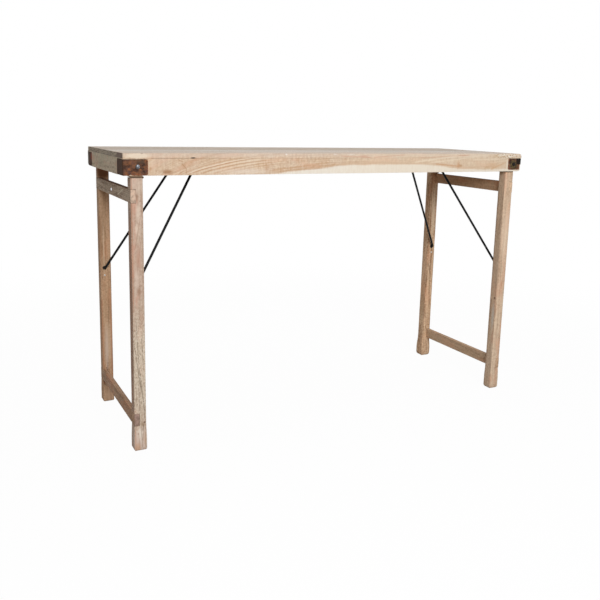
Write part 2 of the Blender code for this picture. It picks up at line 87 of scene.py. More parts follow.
def sawn_block(low, high):
    """A plain block of timber between two corners."""
    bm = bmesh.new()
    place = Matrix.Translation((low + high) / 2) @ Matrix.Diagonal((*(high - low), 1.0))
    bmesh.ops.create_cube(bm, size=1.0, matrix=place)
    return bm


def band_all(bm, low, high, steps):
    """Bands along each axis, close enough for wear to show."""
    for axis, step in enumerate(steps):
        bands(bm, axis, low[axis], high[axis], max(1, round((high[axis] - low[axis]) / step)))


def rub(bm, depth):
    """Wears a piece unevenly and only inwards: its edges by up to a depth, its faces hardly at all."""
    bm.normal_update()
    moves = []
    for vertex in bm.verts:
        facing = vertex.normal
        edge = 1.0 - max(abs(facing.x), abs(facing.y), abs(facing.z))
        worn = 0.5 + 0.5 * noise.noise(vertex.co / WEAR_PATCH)
        knock = max(0.0, noise.noise(vertex.co / (0.3 * WEAR_PATCH) + Vector((7.0, 3.0, 5.0))) - 0.25)
        share = 0.05 + edge * (2.2 * worn * worn + 3.0 * knock)
        moves.append(facing * (depth(vertex.co) * share))
    for vertex, move in zip(bm.verts, moves):
        vertex.co -= move


class Field:
    """A value, colour or vector that changes over a surface. Sums on values add Math nodes."""

    def __init__(self, finish, socket):
        self.finish = finish
        self.socket = socket

    def maths(self, operation, first, second):
        return self.finish.node("ShaderNodeMath", {"operation": operation}, {0: first, 1: second})

    def __add__(self, other):
        return self.maths("ADD", self, other)

    def __sub__(self, other):
        return self.maths("SUBTRACT", self, other)

    def __rsub__(self, other):
        return self.maths("SUBTRACT", other, self)

    def __mul__(self, other):
        return self.maths("MULTIPLY", self, other)

    def __truediv__(self, other):
        return self.maths("DIVIDE", self, other)

    def __mod__(self, other):
        return self.maths("FLOORED_MODULO", self, other)

    def most(self, other):
        return self.maths("MAXIMUM", self, other)

    def exp(self):
        return self.maths("EXPONENT", self, 0.0)

    def __abs__(self):
        return self.maths("ABSOLUTE", self, 0.0)


class Finish:
    """A material, or the light of the world, with one method that adds any node to it."""

    def __init__(self, name, kind="materials", shader="Principled BSDF"):
        self.made = getattr(bpy.data, kind).new(name)
        self.made.use_nodes = True
        self.tree = self.made.node_tree
        self.shader = self.tree.nodes[shader]

    def feed(self, socket, value):
        if isinstance(value, Field):
            self.tree.links.new(value.socket, socket)
        else:
            socket.default_value = value

    def node(self, kind, settings, sockets, output=0):
        made = self.tree.nodes.new(kind)
        for name, value in settings.items():
            setattr(made, name, value)
        for name, value in sockets.items():
            self.feed(made.inputs[name], value)
        return Field(self, made.outputs[output])

    def surface(self, sockets):
        """Sets the sockets of the shader itself."""
        for name, value in sockets.items():
            self.feed(self.shader.inputs[name], value)
        return self.made

    def place(self):
        return self.node("ShaderNodeTexCoord", {}, {}, "Object")

    def axes(self, vector):
        split = self.node("ShaderNodeSeparateXYZ", {}, {0: vector}).socket.node
        return [Field(self, socket) for socket in split.outputs]

    def vector(self, operation, first, second, output=0):
        return self.node("ShaderNodeVectorMath", {"operation": operation}, {0: first, 1: second}, output)

    def clouds(self, place, stretch, detail=2.0, roughness=0.5, shift=(0.0, 0.0, 0.0)):
        """Soft noise. A stretch is one number, or one for each axis where they differ."""
        if isinstance(stretch, float):
            stretch = (stretch, stretch, stretch)
        spread = self.node("ShaderNodeVectorMath", {"operation": "MULTIPLY_ADD"},
                           {0: place, 1: stretch, 2: shift})
        return self.node("ShaderNodeTexNoise", {}, {"Vector": spread, "Scale": 1.0, "Detail": detail,
                                                    "Roughness": roughness}, "Fac")

    def ramp(self, value, start, end, low=0.0, high=1.0):
        return self.node("ShaderNodeMapRange", {"interpolation_type": "SMOOTHSTEP"},
                         {"Value": value, "From Min": start, "From Max": end, "To Min": low,
                          "To Max": high})

    def relief(self, height, strength, depth):
        return self.node("ShaderNodeBump", {}, {"Strength": strength, "Distance": depth,
                                                "Height": height}, "Normal")

    def mix(self, share, first, second):
        return self.node("ShaderNodeMix", {"data_type": "RGBA"}, {0: share, 6: first, 7: second}, 2)

    def patch(self, place, middle, reach, soft, ragged=0.0):
        """How far a patch with a middle and half sizes covers a place, with a ragged rim."""
        away = self.vector("SUBTRACT", place, middle)
        away = self.vector("MULTIPLY", away, tuple(1.0 / size for size in reach))
        rim = self.node("ShaderNodeVectorMath", {"operation": "LENGTH"}, {0: away}, "Value")
        if ragged:
            rim = rim + (self.clouds(place, 160.0, 3.0) - 0.5) * ragged
        return self.ramp(rim, 1.0, soft)

    def line(self, place, start, end, width, ragged):
        """How far a stroke from one point to another covers a place. It thins out at its ends."""
        run = Vector(end) - Vector(start)
        away = self.vector("SUBTRACT", place, tuple(start))
        along = self.vector("DOT_PRODUCT", away, tuple(run / run.length_squared), "Value")
        along = self.node("ShaderNodeClamp", {}, {0: along})
        nearest = self.node("ShaderNodeVectorMath", {"operation": "SCALE"}, {0: tuple(run), "Scale": along})
        gap = self.node("ShaderNodeVectorMath", {"operation": "DISTANCE"}, {0: away, 1: nearest}, "Value")
        stray = (self.clouds(place, 90.0, 3.0) - 0.5) * (ragged * width)
        ends = self.ramp(along * (1.0 - along) * 4.0, 0.0, 0.35)
        return self.ramp(gap + stray, width, 0.25 * width) * ends


def tone(red, green, blue):
    """A colour from its screen values of 0 to 255."""
    return (*((value / 255.0 / 12.92) if value < 11 else ((value / 255.0 + 0.055) / 1.055) ** 2.4
              for value in (red, green, blue)), 1.0)


def timber(wood, place, along, plank, bend=None):
    """Colour, fibres and hollows of bleached hardwood: growth rings, streaks, fibres and pores that are
    drawn out along one axis and follow the bends of the grain."""
    axes = wood.axes(place)
    run = axes[along]
    across, depth = [axes[axis] for axis in range(3) if axis != along]
    sway = (wood.clouds(place, 2.4, 1.0, shift=plank["shift"]) - 0.5) * plank["sway"]
    across = across + sway
    depth = depth - sway * 0.7
    if bend:
        depth = depth + bend(wood, run)
    flow = wood.node("ShaderNodeCombineXYZ", {}, {0: run, 1: across, 2: depth})

    wander = wood.clouds(flow, (3.0, 45.0, 45.0), 3.0, shift=plank["shift"]) - 0.5
    year = ((across * plank["tilt"] + depth) / plank["ring"] + wander * 2.2) % 1.0
    late = wood.ramp(year, 0.1, 0.8) * wood.ramp(year, 1.0, 0.84)
    broad = wood.clouds(flow, (2.0, 22.0, 22.0), 3.0, 0.55, (1.0, 4.0, 9.0))
    fade = wood.clouds(flow, (3.0, 14.0, 14.0), 2.0, 0.5, (6.0, 2.0, 7.0))
    streaks = wood.clouds(flow, (4.5, 110.0, 110.0), 4.0, 0.6, (2.0, 9.0, 4.0))
    fibres = wood.clouds(flow, (20.0, 650.0, 650.0), 3.0, 0.6)
    pores = wood.ramp(wood.clouds(flow, (80.0, 2000.0, 2000.0), 1.0, 0.5, (5.0, 5.0, 1.0)), 0.62, 0.74)

    light = tone(*(min(250, value + 16) for value in plank["pale"]))
    dark = tone(*plank["dark"])
    colour = wood.mix(wood.ramp(broad, 0.34, 0.66), tone(*plank["tan"]), tone(*plank["pale"]))
    colour = wood.mix(late * wood.ramp(fade, 0.36, 0.60) * plank["figure"], colour, dark)
    colour = wood.mix(wood.ramp(streaks, 0.50, 0.70) * plank["streak"], colour, dark)
    colour = wood.mix(wood.ramp(streaks, 0.48, 0.30) * (0.7 * plank["streak"]), colour, light)
    colour = wood.mix(wood.ramp(fibres, 0.48, 0.75) * 0.25, colour, dark)
    mottle = wood.clouds(place, 120.0, 4.0, 0.65, (7.0, 7.0, 2.0))
    colour = wood.mix(wood.ramp(mottle, 0.50, 0.70) * plank["mottle"], colour, dark)
    colour = wood.mix(wood.ramp(mottle, 0.50, 0.30) * plank["mottle"], colour, light)
    blush = wood.ramp(wood.clouds(flow, (8.0, 30.0, 30.0), 3.0, 0.6, (3.0, 3.0, 8.0)), 0.48, 0.66)
    red, green, blue = plank["pale"]
    colour = wood.mix(blush * plank["blush"], colour, tone(red, green - 26, blue - 30))
    weather = wood.ramp(wood.clouds(place, 18.0, 5.0, 0.65, (8.0, 1.0, 3.0)), 0.44, 0.70)
    colour = wood.mix(weather * plank["grey"], colour, tone(*plank["grey_tone"]))
    colour = wood.mix(pores * 0.4, colour, tone(*(0.5 * value for value in plank["dark"])))
    return colour, fibres, pores * 0.6 + late * 0.25


MARK_DEPTH = 0.006


def inset(pair, depth):
    """Two numbers along and up an upright face, with a third one, into the wood, put between them."""
    return (pair[0], depth, pair[1]) if len(pair) == 2 else pair


def marked(finish, place, colour, face, patches, strokes=()):
    """A colour with the patches and strokes of one piece laid over it. A patch is its middle, half sizes,
    soft rim, raggedness, colour and share, and a stroke has two ends and a width instead of the first three.
    The colour of a mark is mostly the wood's own stains or tone, and for some marks painted shade or painted
    light. Points with two numbers lie on the face, and those with three anywhere."""
    for middle, reach, soft, ragged, stain_or_painted_light, share in patches:
        cover = finish.patch(place, inset(middle, face), inset(reach, MARK_DEPTH), soft, ragged)
        colour = finish.mix(cover * share, colour, tone(*stain_or_painted_light))
    for start, end, width, ragged, stain_or_painted_light, share in strokes:
        cover = finish.line(place, inset(start, face), inset(end, face), width, ragged)
        colour = finish.mix(cover * share, colour, tone(*stain_or_painted_light))
    return colour


def seal(wood, colour, fibres, hollows, shine=0.2):
    """Lays a bare, dry surface over a wood's colour."""
    return wood.surface({"Base Color": colour, "Specular IOR Level": shine,
                         "Roughness": wood.ramp(fibres, 0.3, 0.7, 0.64, 0.86),
                         "Normal": wood.relief(fibres * 0.5 - hollows, 0.35, 0.0006)})


def bleached_wood(name, along, plank):
    """The whole finish of a plain straight-grained piece."""
    wood = Finish(name)
    return seal(wood, *timber(wood, wood.place(), along, plank))


PLAIN_LOOK = dict(tilt=0.4, ring=0.006, figure=0.35, streak=0.35, sway=0.03, grey=0.2,
                  grey_tone=(160, 150, 134), mottle=0.4, blush=0.35, shift=(0.0, 0.0, 0.0))


def look(pale, tan, dark, **others):
    """What sets one plank apart: its three tones, and where its grain and weathering aren't plain."""
    return dict(PLAIN_LOOK, pale=pale, tan=tan, dark=dark, **others)


FRONT_LOOK = look((230, 209, 183), (222, 197, 168), (186, 144, 110), ring=0.0085, figure=0.42, streak=0.36,
                  sway=0.012, grey_tone=(226, 216, 206), mottle=0.5, blush=0.45)
FRONT_FACE = -TOP_SIDE
FRONT_PATCHES = [
    ((-0.765, 0.992), (0.050, 0.010), 0.5, 0.5, (238, 222, 200), 0.7),
    ((-0.671, 0.941), (0.026, 0.011), 0.2, 0.6, (166, 126, 94), 0.85),
    ((-0.618, 0.962), (0.014, 0.012), 0.1, 0.6, (198, 162, 130), 0.5),
    ((-0.726, 0.951), (0.007, 0.009), 0.1, 0.6, (190, 148, 112), 0.65),
    ((-0.325, 0.952), (0.010, 0.022), 0.1, 0.6, (198, 158, 126), 0.5),
    ((0.065, 0.991), (0.034, 0.004), 0.2, 0.6, (204, 156, 132), 0.65),
    ((0.520, 0.994), (0.034, 0.004), 0.2, 0.6, (206, 162, 138), 0.5),
    ((0.690, 0.990), (0.062, 0.010), 0.1, 1.5, (196, 160, 110), 0.4),
    ((0.665, 0.954), (0.055, 0.019), 0.1, 0.9, (212, 168, 124), 0.4),
    ((0.505, 0.954), (0.017, 0.008), 0.1, 0.6, (188, 142, 102), 0.7),
    ((0.495, 0.957), (0.013, 0.024), 0.1, 0.7, (206, 160, 122), 0.6),
    ((0.640, 0.946), (0.026, 0.009), 0.1, 0.8, (204, 166, 128), 0.5),
    ((0.742, 0.957), (0.007, 0.030), 0.3, 0.4, (244, 234, 216), 0.6),
    ((-0.400, 0.940), (0.130, 0.014), 0.2, 0.8, (234, 220, 206), 0.5),
    ((-0.249, 0.997), (0.006, 0.003), 0.3, 0.5, (242, 238, 232), 0.8),
    ((-0.055, 0.997), (0.013, 0.003), 0.1, 0.9, (242, 236, 228), 0.6),
    ((0.010, 0.997), (0.022, 0.003), 0.1, 0.9, (242, 234, 226), 0.55),
    ((-0.753, 1.0), (0.006, 0.004, 0.003), 0.5, 0.4, (140, 110, 86), 0.6),
    ((-0.584, 0.9850), (0.011, 0.0026), 0.6, 0.0, (38, 28, 22), 1.0),
]
FRONT_STROKES = [
    ((0.655, 0.938), (0.738, 0.967), 0.0050, 1.5, (212, 168, 124), 0.45),
    ((0.278, 0.967), (0.497, 0.993), 0.0045, 1.5, (244, 228, 204), 0.55),
    ((0.348, 0.964), (0.596, 0.990), 0.0035, 1.5, (242, 226, 202), 0.5),
    ((0.380, 0.962), (0.505, 0.951), 0.0045, 1.5, (204, 154, 114), 0.5),
    ((0.560, 0.975), (0.700, 0.980), 0.0030, 1.5, (242, 226, 202), 0.45),
    ((-0.330, 0.938), (-0.060, 0.972), 0.0050, 3.0, (196, 154, 118), 0.45),
    ((-0.280, 0.938), (-0.040, 0.962), 0.0040, 3.0, (196, 154, 118), 0.35),
    ((-0.040, 0.992), (0.100, 0.985), 0.0022, 1.5, (204, 150, 124), 0.6),
    ((0.100, 0.986), (0.250, 0.996), 0.0022, 1.5, (208, 158, 132), 0.5),
    ((0.300, 0.984), (0.560, 0.995), 0.0024, 1.5, (206, 160, 132), 0.5),
    ((0.410, 0.983), (0.480, 0.986), 0.0022, 1.0, (238, 220, 198), 0.7),
    ((-0.730, 0.9842), (-0.560, 0.9842), 0.0010, 0.6, (128, 98, 74), 0.7),
    ((-0.636, 0.979), (-0.617, 0.972), 0.0022, 1.0, (178, 136, 104), 0.6),
    ((-0.623, 0.968), (-0.606, 0.949), 0.0024, 1.0, (178, 136, 104), 0.65),
    ((-0.607, 0.953), (-0.606, 0.934), 0.0022, 1.0, (184, 142, 110), 0.55),
    ((-0.634, 0.931), (-0.616, 0.944), 0.0022, 1.0, (186, 144, 112), 0.55),
]
ARC_FOOT = 0.930
ARC_LENGTH = 0.183
FRONT_ARCS = [
    (-0.632, 0.078, 0.0018, (198, 152, 118), 0.5), (-0.613, 0.074, 0.0030, (242, 226, 204), 0.75),
    (-0.601, 0.073, 0.0022, (188, 138, 102), 0.8), (-0.585, 0.068, 0.0026, (240, 222, 198), 0.65),
    (-0.567, 0.064, 0.0020, (190, 142, 106), 0.7), (-0.545, 0.060, 0.0026, (238, 220, 196), 0.6),
    (-0.526, 0.056, 0.0020, (194, 148, 112), 0.6), (-0.490, 0.048, 0.0022, (198, 154, 118), 0.5),
]


def grain_arc(wood, run, height, start, rise, width, stray):
    """How far a line of grain covers a place. It leaves the lower edge at a start, rises and levels out."""
    gap = height + stray - ARC_FOOT - (1.0 - ((run - start) / -ARC_LENGTH).exp()) * rise
    span = wood.ramp(run, start, start + 0.03) * wood.ramp(run, start + 0.30, start + 0.16)
    return wood.ramp(abs(gap), width, 0.3 * width) * span


def front_bend(wood, run):
    """Grain that climbs steeply from the left end, runs level in the middle and sinks to the right."""
    climb = ((run + 0.62) * -4.5).exp() * 0.09
    return climb + wood.ramp(run, 0.2, 0.65, 0.0, 0.03) - wood.ramp(run, 0.65, 0.8, 0.0, 0.012)


def front_wood(wood, place):
    """The flat-sawn plank that the front board and the front apron were both cut from: arched grain on
    the left, a cream edge along the lower right with a brown band over it, and a rippled figure."""
    colour, fibres, hollows = timber(wood, place, 0, FRONT_LOOK, front_bend)
    run, _, height = wood.axes(place)
    stray = (wood.clouds(place, (9.0, 9.0, 70.0), 3.0) - 0.5) * 0.012
    edge = wood.ramp(run, -0.40, 0.06, 0.928, 0.9605) - wood.ramp(run, 0.3, 0.56, 0.0, 0.021)
    over = height - edge + stray
    colour = wood.mix(wood.ramp(over, 0.003, -0.004) * 0.9, colour, tone(243, 238, 226))
    belt = wood.ramp(over, -0.002, 0.003) * wood.ramp(over, 0.017, 0.007)
    belt = belt * wood.ramp(run, -0.15, 0.0) * wood.ramp(run, 0.72, 0.5)
    colour = wood.mix(belt * 0.42, colour, tone(194, 150, 112))
    chatter = wood.ramp(wood.clouds(place, (165.0, 1.0, 34.0), 2.0), 0.42, 0.62)
    curly = wood.ramp(run, -0.38, -0.28) * wood.ramp(run, -0.12, -0.22)
    curly = curly.most(wood.ramp(run, 0.30, 0.38) * wood.ramp(run, 0.52, 0.44))
    share = (curly * 0.10 + 0.28) * wood.ramp(over, -0.006, 0.004, 0.3, 1.0)
    colour = wood.mix(chatter * share, colour, tone(196, 156, 124))
    for start, rise, width, stain_or_painted_light, share in FRONT_ARCS:
        cover = grain_arc(wood, run, height, start, rise, width, stray * 0.5)
        colour = wood.mix(cover * share, colour, tone(*stain_or_painted_light))
    # Painted highlight: the upper part of the front board's edge is painted paler towards the rim.
    colour = wood.mix(wood.ramp(height, 0.983, 0.992) * 0.4, colour, tone(218, 203, 190))
    colour = wood.mix(wood.ramp(run, -0.35, -0.60) * 0.14, colour, tone(190, 160, 134))
    colour = wood.mix(wood.ramp(run, -0.20, 0.20) * 0.34, colour, tone(242, 224, 198))
    flakes = wood.clouds(place, (110.0, 110.0, 200.0), 2.0, 0.6, (3.0, 8.0, 5.0))
    flaked = wood.patch(place, (0.735, FRONT_FACE, 0.992), (0.095, 0.01, 0.015), 0.3, 0.9)
    colour = wood.mix(flaked * wood.ramp(flakes, 0.52, 0.60) * 0.8, colour, tone(252, 250, 240))
    colour = wood.mix(flaked * wood.ramp(flakes, 0.47, 0.39) * 0.8, colour, tone(180, 138, 98))
    return marked(wood, place, colour, FRONT_FACE, FRONT_PATCHES, FRONT_STROKES), fibres, hollows


def piece(bm, node, body, material):
    """A finished piece in place of its plain one, riding on a body."""
    name = f"worn_{node}"
    mesh = bpy.data.meshes.new(name)
    bm.to_mesh(mesh)
    bm.free()
    mesh.shade_smooth()
    mesh.set_sharp_from_angle(angle=math.radians(35))
    mesh.materials.append(material)
    made = bpy.data.objects.new(name, mesh)
    bpy.context.scene.collection.objects.link(made)
    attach(made, body)
    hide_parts(node)
    return made


WORN_END = 0.011
WORN_END_REACH = 0.035
WORN_CORNER = 0.010
RIM = 0.0145
RIM_WEAR = 0.0026
FACE_WEAR = 0.0004
EASED = 0.0006
BOARD_DARK = (166, 146, 126)
BOARD_TONES = {1: ((230, 215, 200), (220, 203, 187)), 2: ((228, 221, 211), (218, 210, 199)),
               3: ((206, 193, 178), (192, 177, 161)), 4: ((212, 201, 187), (198, 185, 169))}


def rim_wear(at):
    """Deep wear along the outer rim of the top, and hardly any elsewhere."""
    rim = at.z > TOP_FACE - 0.01 and (abs(at.y) > TOP_SIDE - RIM or abs(at.x) > TOP_END - RIM)
    return RIM_WEAR if rim else FACE_WEAR


for number, (pale, tan) in BOARD_TONES.items():
    board = f"top_plank_{number}"
    low, high = corners(board)
    bm = sawn_block(low, high)
    if number == 1:
        worn_end = [edge for edge in bm.edges
                    if all(v.co.x > high.x - NEAR and v.co.z > high.z - NEAR for v in edge.verts)]
        ease(bm, worn_end, WORN_END, 6)
    if number == 4:
        worn_corner = [edge for edge in bm.edges
                       if all(v.co.x < low.x + NEAR and v.co.y > high.y - NEAR for v in edge.verts)]
        ease(bm, worn_corner, WORN_CORNER, 5)
    upper = [edge for edge in bm.edges
             if edge.calc_face_angle(0.0) > 1.0 and max(v.co.z for v in edge.verts) > high.z - 0.008]
    ease(bm, upper, EASED)
    band_all(bm, low, high, (0.008, 0.0115, 0.02))
    if number == 1:
        for vertex in bm.verts:
            in_from_end, down = high.x - vertex.co.x, high.z - vertex.co.z
            if max(in_from_end, down) < WORN_END + 0.1 * NEAR:
                share = 0.15 + 0.85 * math.exp(-((vertex.co.y - low.y) / WORN_END_REACH) ** 2)
                vertex.co.x = high.x - in_from_end * share
                vertex.co.z = high.z - down * share
    rub(bm, rim_wear)
    wood = Finish(f"bleached_board_{number}")
    place = wood.place()
    plank = look(pale, tan, BOARD_DARK, tilt=1.0, streak=0.5, grey=0.35, grey_tone=(208, 202, 194),
                 shift=(3.0 * number, 5.0 * number, 1.0))
    colour, fibres, hollows = timber(wood, place, 0, plank)
    run, depth, _ = wood.axes(place)
    colour = wood.mix(wood.ramp(run, -0.30, -0.65) * 0.22, colour, tone(176, 163, 148))
    for joint in (low.y, high.y):
        if abs(joint) < TOP_SIDE - NEAR:
            seam = wood.ramp(abs(depth - joint), 0.0024, 0.0006)
            colour = wood.mix(seam * 0.5, colour, tone(112, 96, 82))
    ends = wood.ramp(abs(run), TOP_END - 0.0045, TOP_END - 0.0015)
    end_grain = wood.clouds(place, (1.0, 30.0, 260.0), 3.0, 0.6)
    sawn = wood.mix(wood.ramp(end_grain, 0.40, 0.64), tone(178, 162, 138), tone(108, 94, 78))
    colour = wood.mix(ends * 0.9, colour, sawn)
    corner_stain = wood.ramp(depth, -0.185, -0.210)
    colour = wood.mix(ends * corner_stain * 0.9, colour, tone(100, 76, 62))
    if number == 1:
        front_colour, _, _ = front_wood(wood, place)
        facing = wood.ramp(depth, FRONT_FACE + 0.004, FRONT_FACE + 0.001)
        colour = wood.mix(facing * (1.0 - ends * 0.5), colour, front_colour)
    piece(bm, board, "top", seal(wood, colour, fibres, hollows, 0.5))


# Aprons: boards on edge that frame the top, nailed at the corners and cut away where the corner straps
# are let in. The front one comes from the same plank as the front board.

APRON_LOOKS = {
    "back_apron": look((220, 198, 172), (210, 182, 154), (178, 138, 106), ring=0.008,
                       figure=0.45, streak=0.4, shift=(4.0, 0.0, 2.0)),
    "left_end_apron": look((238, 222, 198), (224, 206, 180), (154, 128, 100),
                           streak=0.65, mottle=0.6, blush=0.6, grey=0.7, grey_tone=(206, 200, 174)),
    "right_end_apron": look((216, 198, 174), (204, 184, 158), (168, 142, 116),
                            grey=0.3, grey_tone=(190, 180, 160), shift=(2.0, 6.0, 1.0)),
}
SIDE_NAMES = {LEFT: "left", RIGHT: "right"}
STRAP_ROOM = 0.0023
STRAP_SLACK = 0.0003
WORN_BELOW = 0.004
BROKEN_X, BROKEN_Y = 0.800, -0.26
END_LEAF = 0.076
LONG_LEAF = {LEFT: 0.0805, RIGHT: 0.067}
# Heights just under and over the rims of the straps, where an apron needs edges
STRAP_LINES = (0.9265, 0.93015, 0.93045, 0.93585, 0.93615, 0.98145, 0.98175)
LOST_CORNERS = ((LEFT, BACK, 0.005), (RIGHT, FRONT, 0.004))
LOST_REACH = 0.008
LOST_RISE = 0.025


def tuck_under_straps(bm):
    """Sinks the faces of an apron where the straps lie, over the heights of the straps."""
    for side in (LEFT, RIGHT):
        strap_low, strap_high = corners(f"front_{SIDE_NAMES[side]}_corner_strap")
        foot = strap_low.z - (WORN_BELOW if side == LEFT else STRAP_SLACK)
        for vertex in bm.verts:
            broken = side == RIGHT and vertex.co.x > BROKEN_X and vertex.co.y < BROKEN_Y
            if not (0.0 if broken else foot) < vertex.co.z < strap_high.z + STRAP_SLACK:
                continue
            out_x, out_y = vertex.co.x * side, abs(vertex.co.y)
            if out_x > TOP_END - LONG_LEAF[side] - STRAP_SLACK and out_y > TOP_SIDE - STRAP_ROOM:
                vertex.co.y = math.copysign(TOP_SIDE - STRAP_ROOM, vertex.co.y)
            if out_y > TOP_SIDE - END_LEAF - STRAP_SLACK and out_x > TOP_END - STRAP_ROOM:
                vertex.co.x = side * (TOP_END - STRAP_ROOM)


for node in ("front_apron", "back_apron", "left_end_apron", "right_end_apron"):
    low, high = corners(node)
    long_way = 0 if node in ("front_apron", "back_apron") else 1
    bm = sawn_block(low, high)
    ease(bm, [edge for edge in bm.edges if min(v.co.z for v in edge.verts) < high.z - NEAR], 0.0005)
    band_all(bm, low, high, (0.008, 0.013, 0.0135) if long_way == 0 else (0.013, 0.008, 0.0135))
    for level in STRAP_LINES:
        band(bm, 2, level)
    for side, row in ((LEFT, FRONT), (RIGHT, BACK)):
        for step in (0.0002, 0.0006):
            band(bm, 0, side * (TOP_END - LONG_LEAF[side] - step))
            band(bm, 1, row * (TOP_SIDE - END_LEAF - step))
    rub(bm, lambda at: 0.0016 if at.z < 0.95 else 0.0003)
    tuck_under_straps(bm)
    for vertex in bm.verts:
        for side, row, lost in LOST_CORNERS:
            off = math.hypot(vertex.co.x - side * TOP_END, vertex.co.y - row * TOP_SIDE)
            fade = max(0.0, 1.0 - (vertex.co.z - low.z) / LOST_RISE)
            vertex.co.z += lost * math.exp(-(off / LOST_REACH) ** 2) * fade
    bmesh.ops.remove_doubles(bm, verts=bm.verts[:], dist=0.0002)
    if node == "front_apron":
        wood = Finish("bleached_front_apron")
        finish = seal(wood, *front_wood(wood, wood.place()))
    else:
        finish = bleached_wood(f"bleached_{node}", long_way, APRON_LOOKS[node])
    piece(bm, node, "top", finish)


# Hinge rails, stay battens and hinge pads: offcuts of the same timber left bare under the top. The
# rails close the gap over the legs, the battens carry the stay keepers, and the pads pack the left hinges.

inner_finishes = {
    0: bleached_wood("bare_pad_wood", 0, look((206, 184, 158), (190, 164, 136), (150, 118, 90))),
    1: bleached_wood("bare_rail_wood", 1, look((190, 162, 132), (172, 142, 112), (128, 98, 72),
                                               shift=(1.0, 2.0, 3.0))),
}
for node in ("left_hinge_rail", "right_hinge_rail", "left_stay_batten", "right_stay_batten",
             "front_left_hinge_pad", "back_left_hinge_pad"):
    low, high = corners(node)
    long_way = 0 if node.endswith("pad") else 1
    bm = sawn_block(low, high)
    ease(bm, bm.edges[:], EASED)
    band_all(bm, low, high, (0.012, 0.012, 0.012))
    rub(bm, lambda at: 0.0012)
    piece(bm, node, "top", inner_finishes[long_way])


# Corner straps: flat bar iron cut, rounded at the free corners, bent cold round each corner of the top and
# let in flush, now brown with rust. The front right one has lost the foot of its bend, and the back left
# one is worn short there.

STRAP = 0.002
STRAP_BEND = 0.0012
STRAP_CORNER = Vector((TOP_END - STRAP, TOP_SIDE - STRAP))
CORNERS = {"front_left": (LEFT, FRONT), "back_left": (LEFT, BACK),
           "front_right": (RIGHT, FRONT), "back_right": (RIGHT, BACK)}
LEFT_STRAP_MARKS = [
    ((-0.757, 0.973), (0.022, 0.01, 0.009), 0.3, 0.7, (82, 68, 56), 0.7),
    ((-TOP_END, 0.268, 0.957), (0.01, 0.024, 0.032), 0.3, 0.6, (150, 142, 130), 0.8),
    ((-TOP_END, 0.208, 0.966), (0.01, 0.016, 0.020), 0.3, 0.6, (166, 84, 64), 0.8),
]


def rusty_strap(name, side, row, bottom, top):
    """Iron with mottled rust, redder along its rims, darker at its bend, painted dark over its end leaf as
    painted shade, and with a painted shadow line along its top edge.
    """
    rust = Finish(name)
    place = rust.place()
    along, _, height = rust.axes(place)
    broad = rust.clouds(place, (45.0, 45.0, 60.0), 4.0, 0.6)
    blotch = rust.clouds(place, (100.0, 100.0, 120.0), 5.0, 0.65, (4.0, 1.0, 6.0))
    violet = rust.clouds(place, 60.0, 3.0, 0.5, (9.0, 3.0, 1.0))
    grit = rust.clouds(place, 900.0, 3.0, 0.6)
    colour = rust.mix(rust.ramp(broad, 0.38, 0.62), tone(72, 52, 43), tone(124, 86, 64))
    colour = rust.mix(rust.ramp(violet, 0.50, 0.66) * 0.6, colour, tone(92, 70, 70))
    colour = rust.mix(rust.ramp(blotch, 0.50, 0.66) * 0.8, colour, tone(154, 98, 62))
    colour = rust.mix(rust.ramp(blotch, 0.44, 0.32) * 0.85, colour, tone(52, 38, 34))
    from_low = rust.ramp(height - bottom, 0.0045, 0.001)
    top_edge_shadow = rust.ramp(top - height, 0.0035, 0.001)
    from_free = rust.ramp(along * side - (TOP_END - LONG_LEAF[side]), 0.0045, 0.001)
    rim = from_low.most(from_free)
    colour = rust.mix(rim * rust.ramp(grit, 0.3, 0.6) * 0.75, colour, tone(146, 84, 56))
    # Painted shadow: a dark line along the top edge of the strap, broken up by the rust blotches.
    colour = rust.mix(top_edge_shadow * rust.ramp(blotch, 0.35, 0.55) * 0.7, colour, tone(60, 42, 34))
    # The bend and the whole end leaf are painted dark brown: the bend's own darker iron, and painted shade on
    # the end leaf.
    turned = rust.ramp(along * side, TOP_END - 0.005, TOP_END - 0.0002)
    colour = rust.mix(turned * 0.9, colour, tone(72, 51, 39))
    if side == LEFT:
        colour = marked(rust, place, colour, row * TOP_SIDE, LEFT_STRAP_MARKS)
    else:
        olive = rust.mix(rust.ramp(blotch, 0.40, 0.60), tone(66, 56, 40), tone(122, 108, 72))
        moss = rust.patch(place, (0.775, FRONT_FACE, 0.957), (0.026, 0.01, 0.023), 0.5, 0.5)
        colour = rust.mix(moss * 0.85, colour, olive)
        scale = rust.patch(place, (0.802, FRONT_FACE, 0.9705), (0.017, 0.01, 0.016), 0.7, 0.5)
        colour = rust.mix(scale * 0.95, colour, tone(24, 23, 22))
    return rust.surface({"Base Color": colour, "Specular IOR Level": 0.08,
                         "Metallic": rust.ramp(blotch, 0.55, 0.35, 0.0, 0.1),
                         "Roughness": rust.ramp(grit, 0.3, 0.7, 0.6, 0.84),
                         "Normal": rust.relief(grit * 0.5 + blotch, 0.5, 0.0005)})


FREE_CORNER = 0.006
LOST_FOOT = {"end": -0.009, "long": 0.0058, "top": 0.957}
WORN_FOOT = 0.006
NOTCH_AT, NOTCH_SIZE = 0.0235, 0.0035
RAGGED = 0.0004


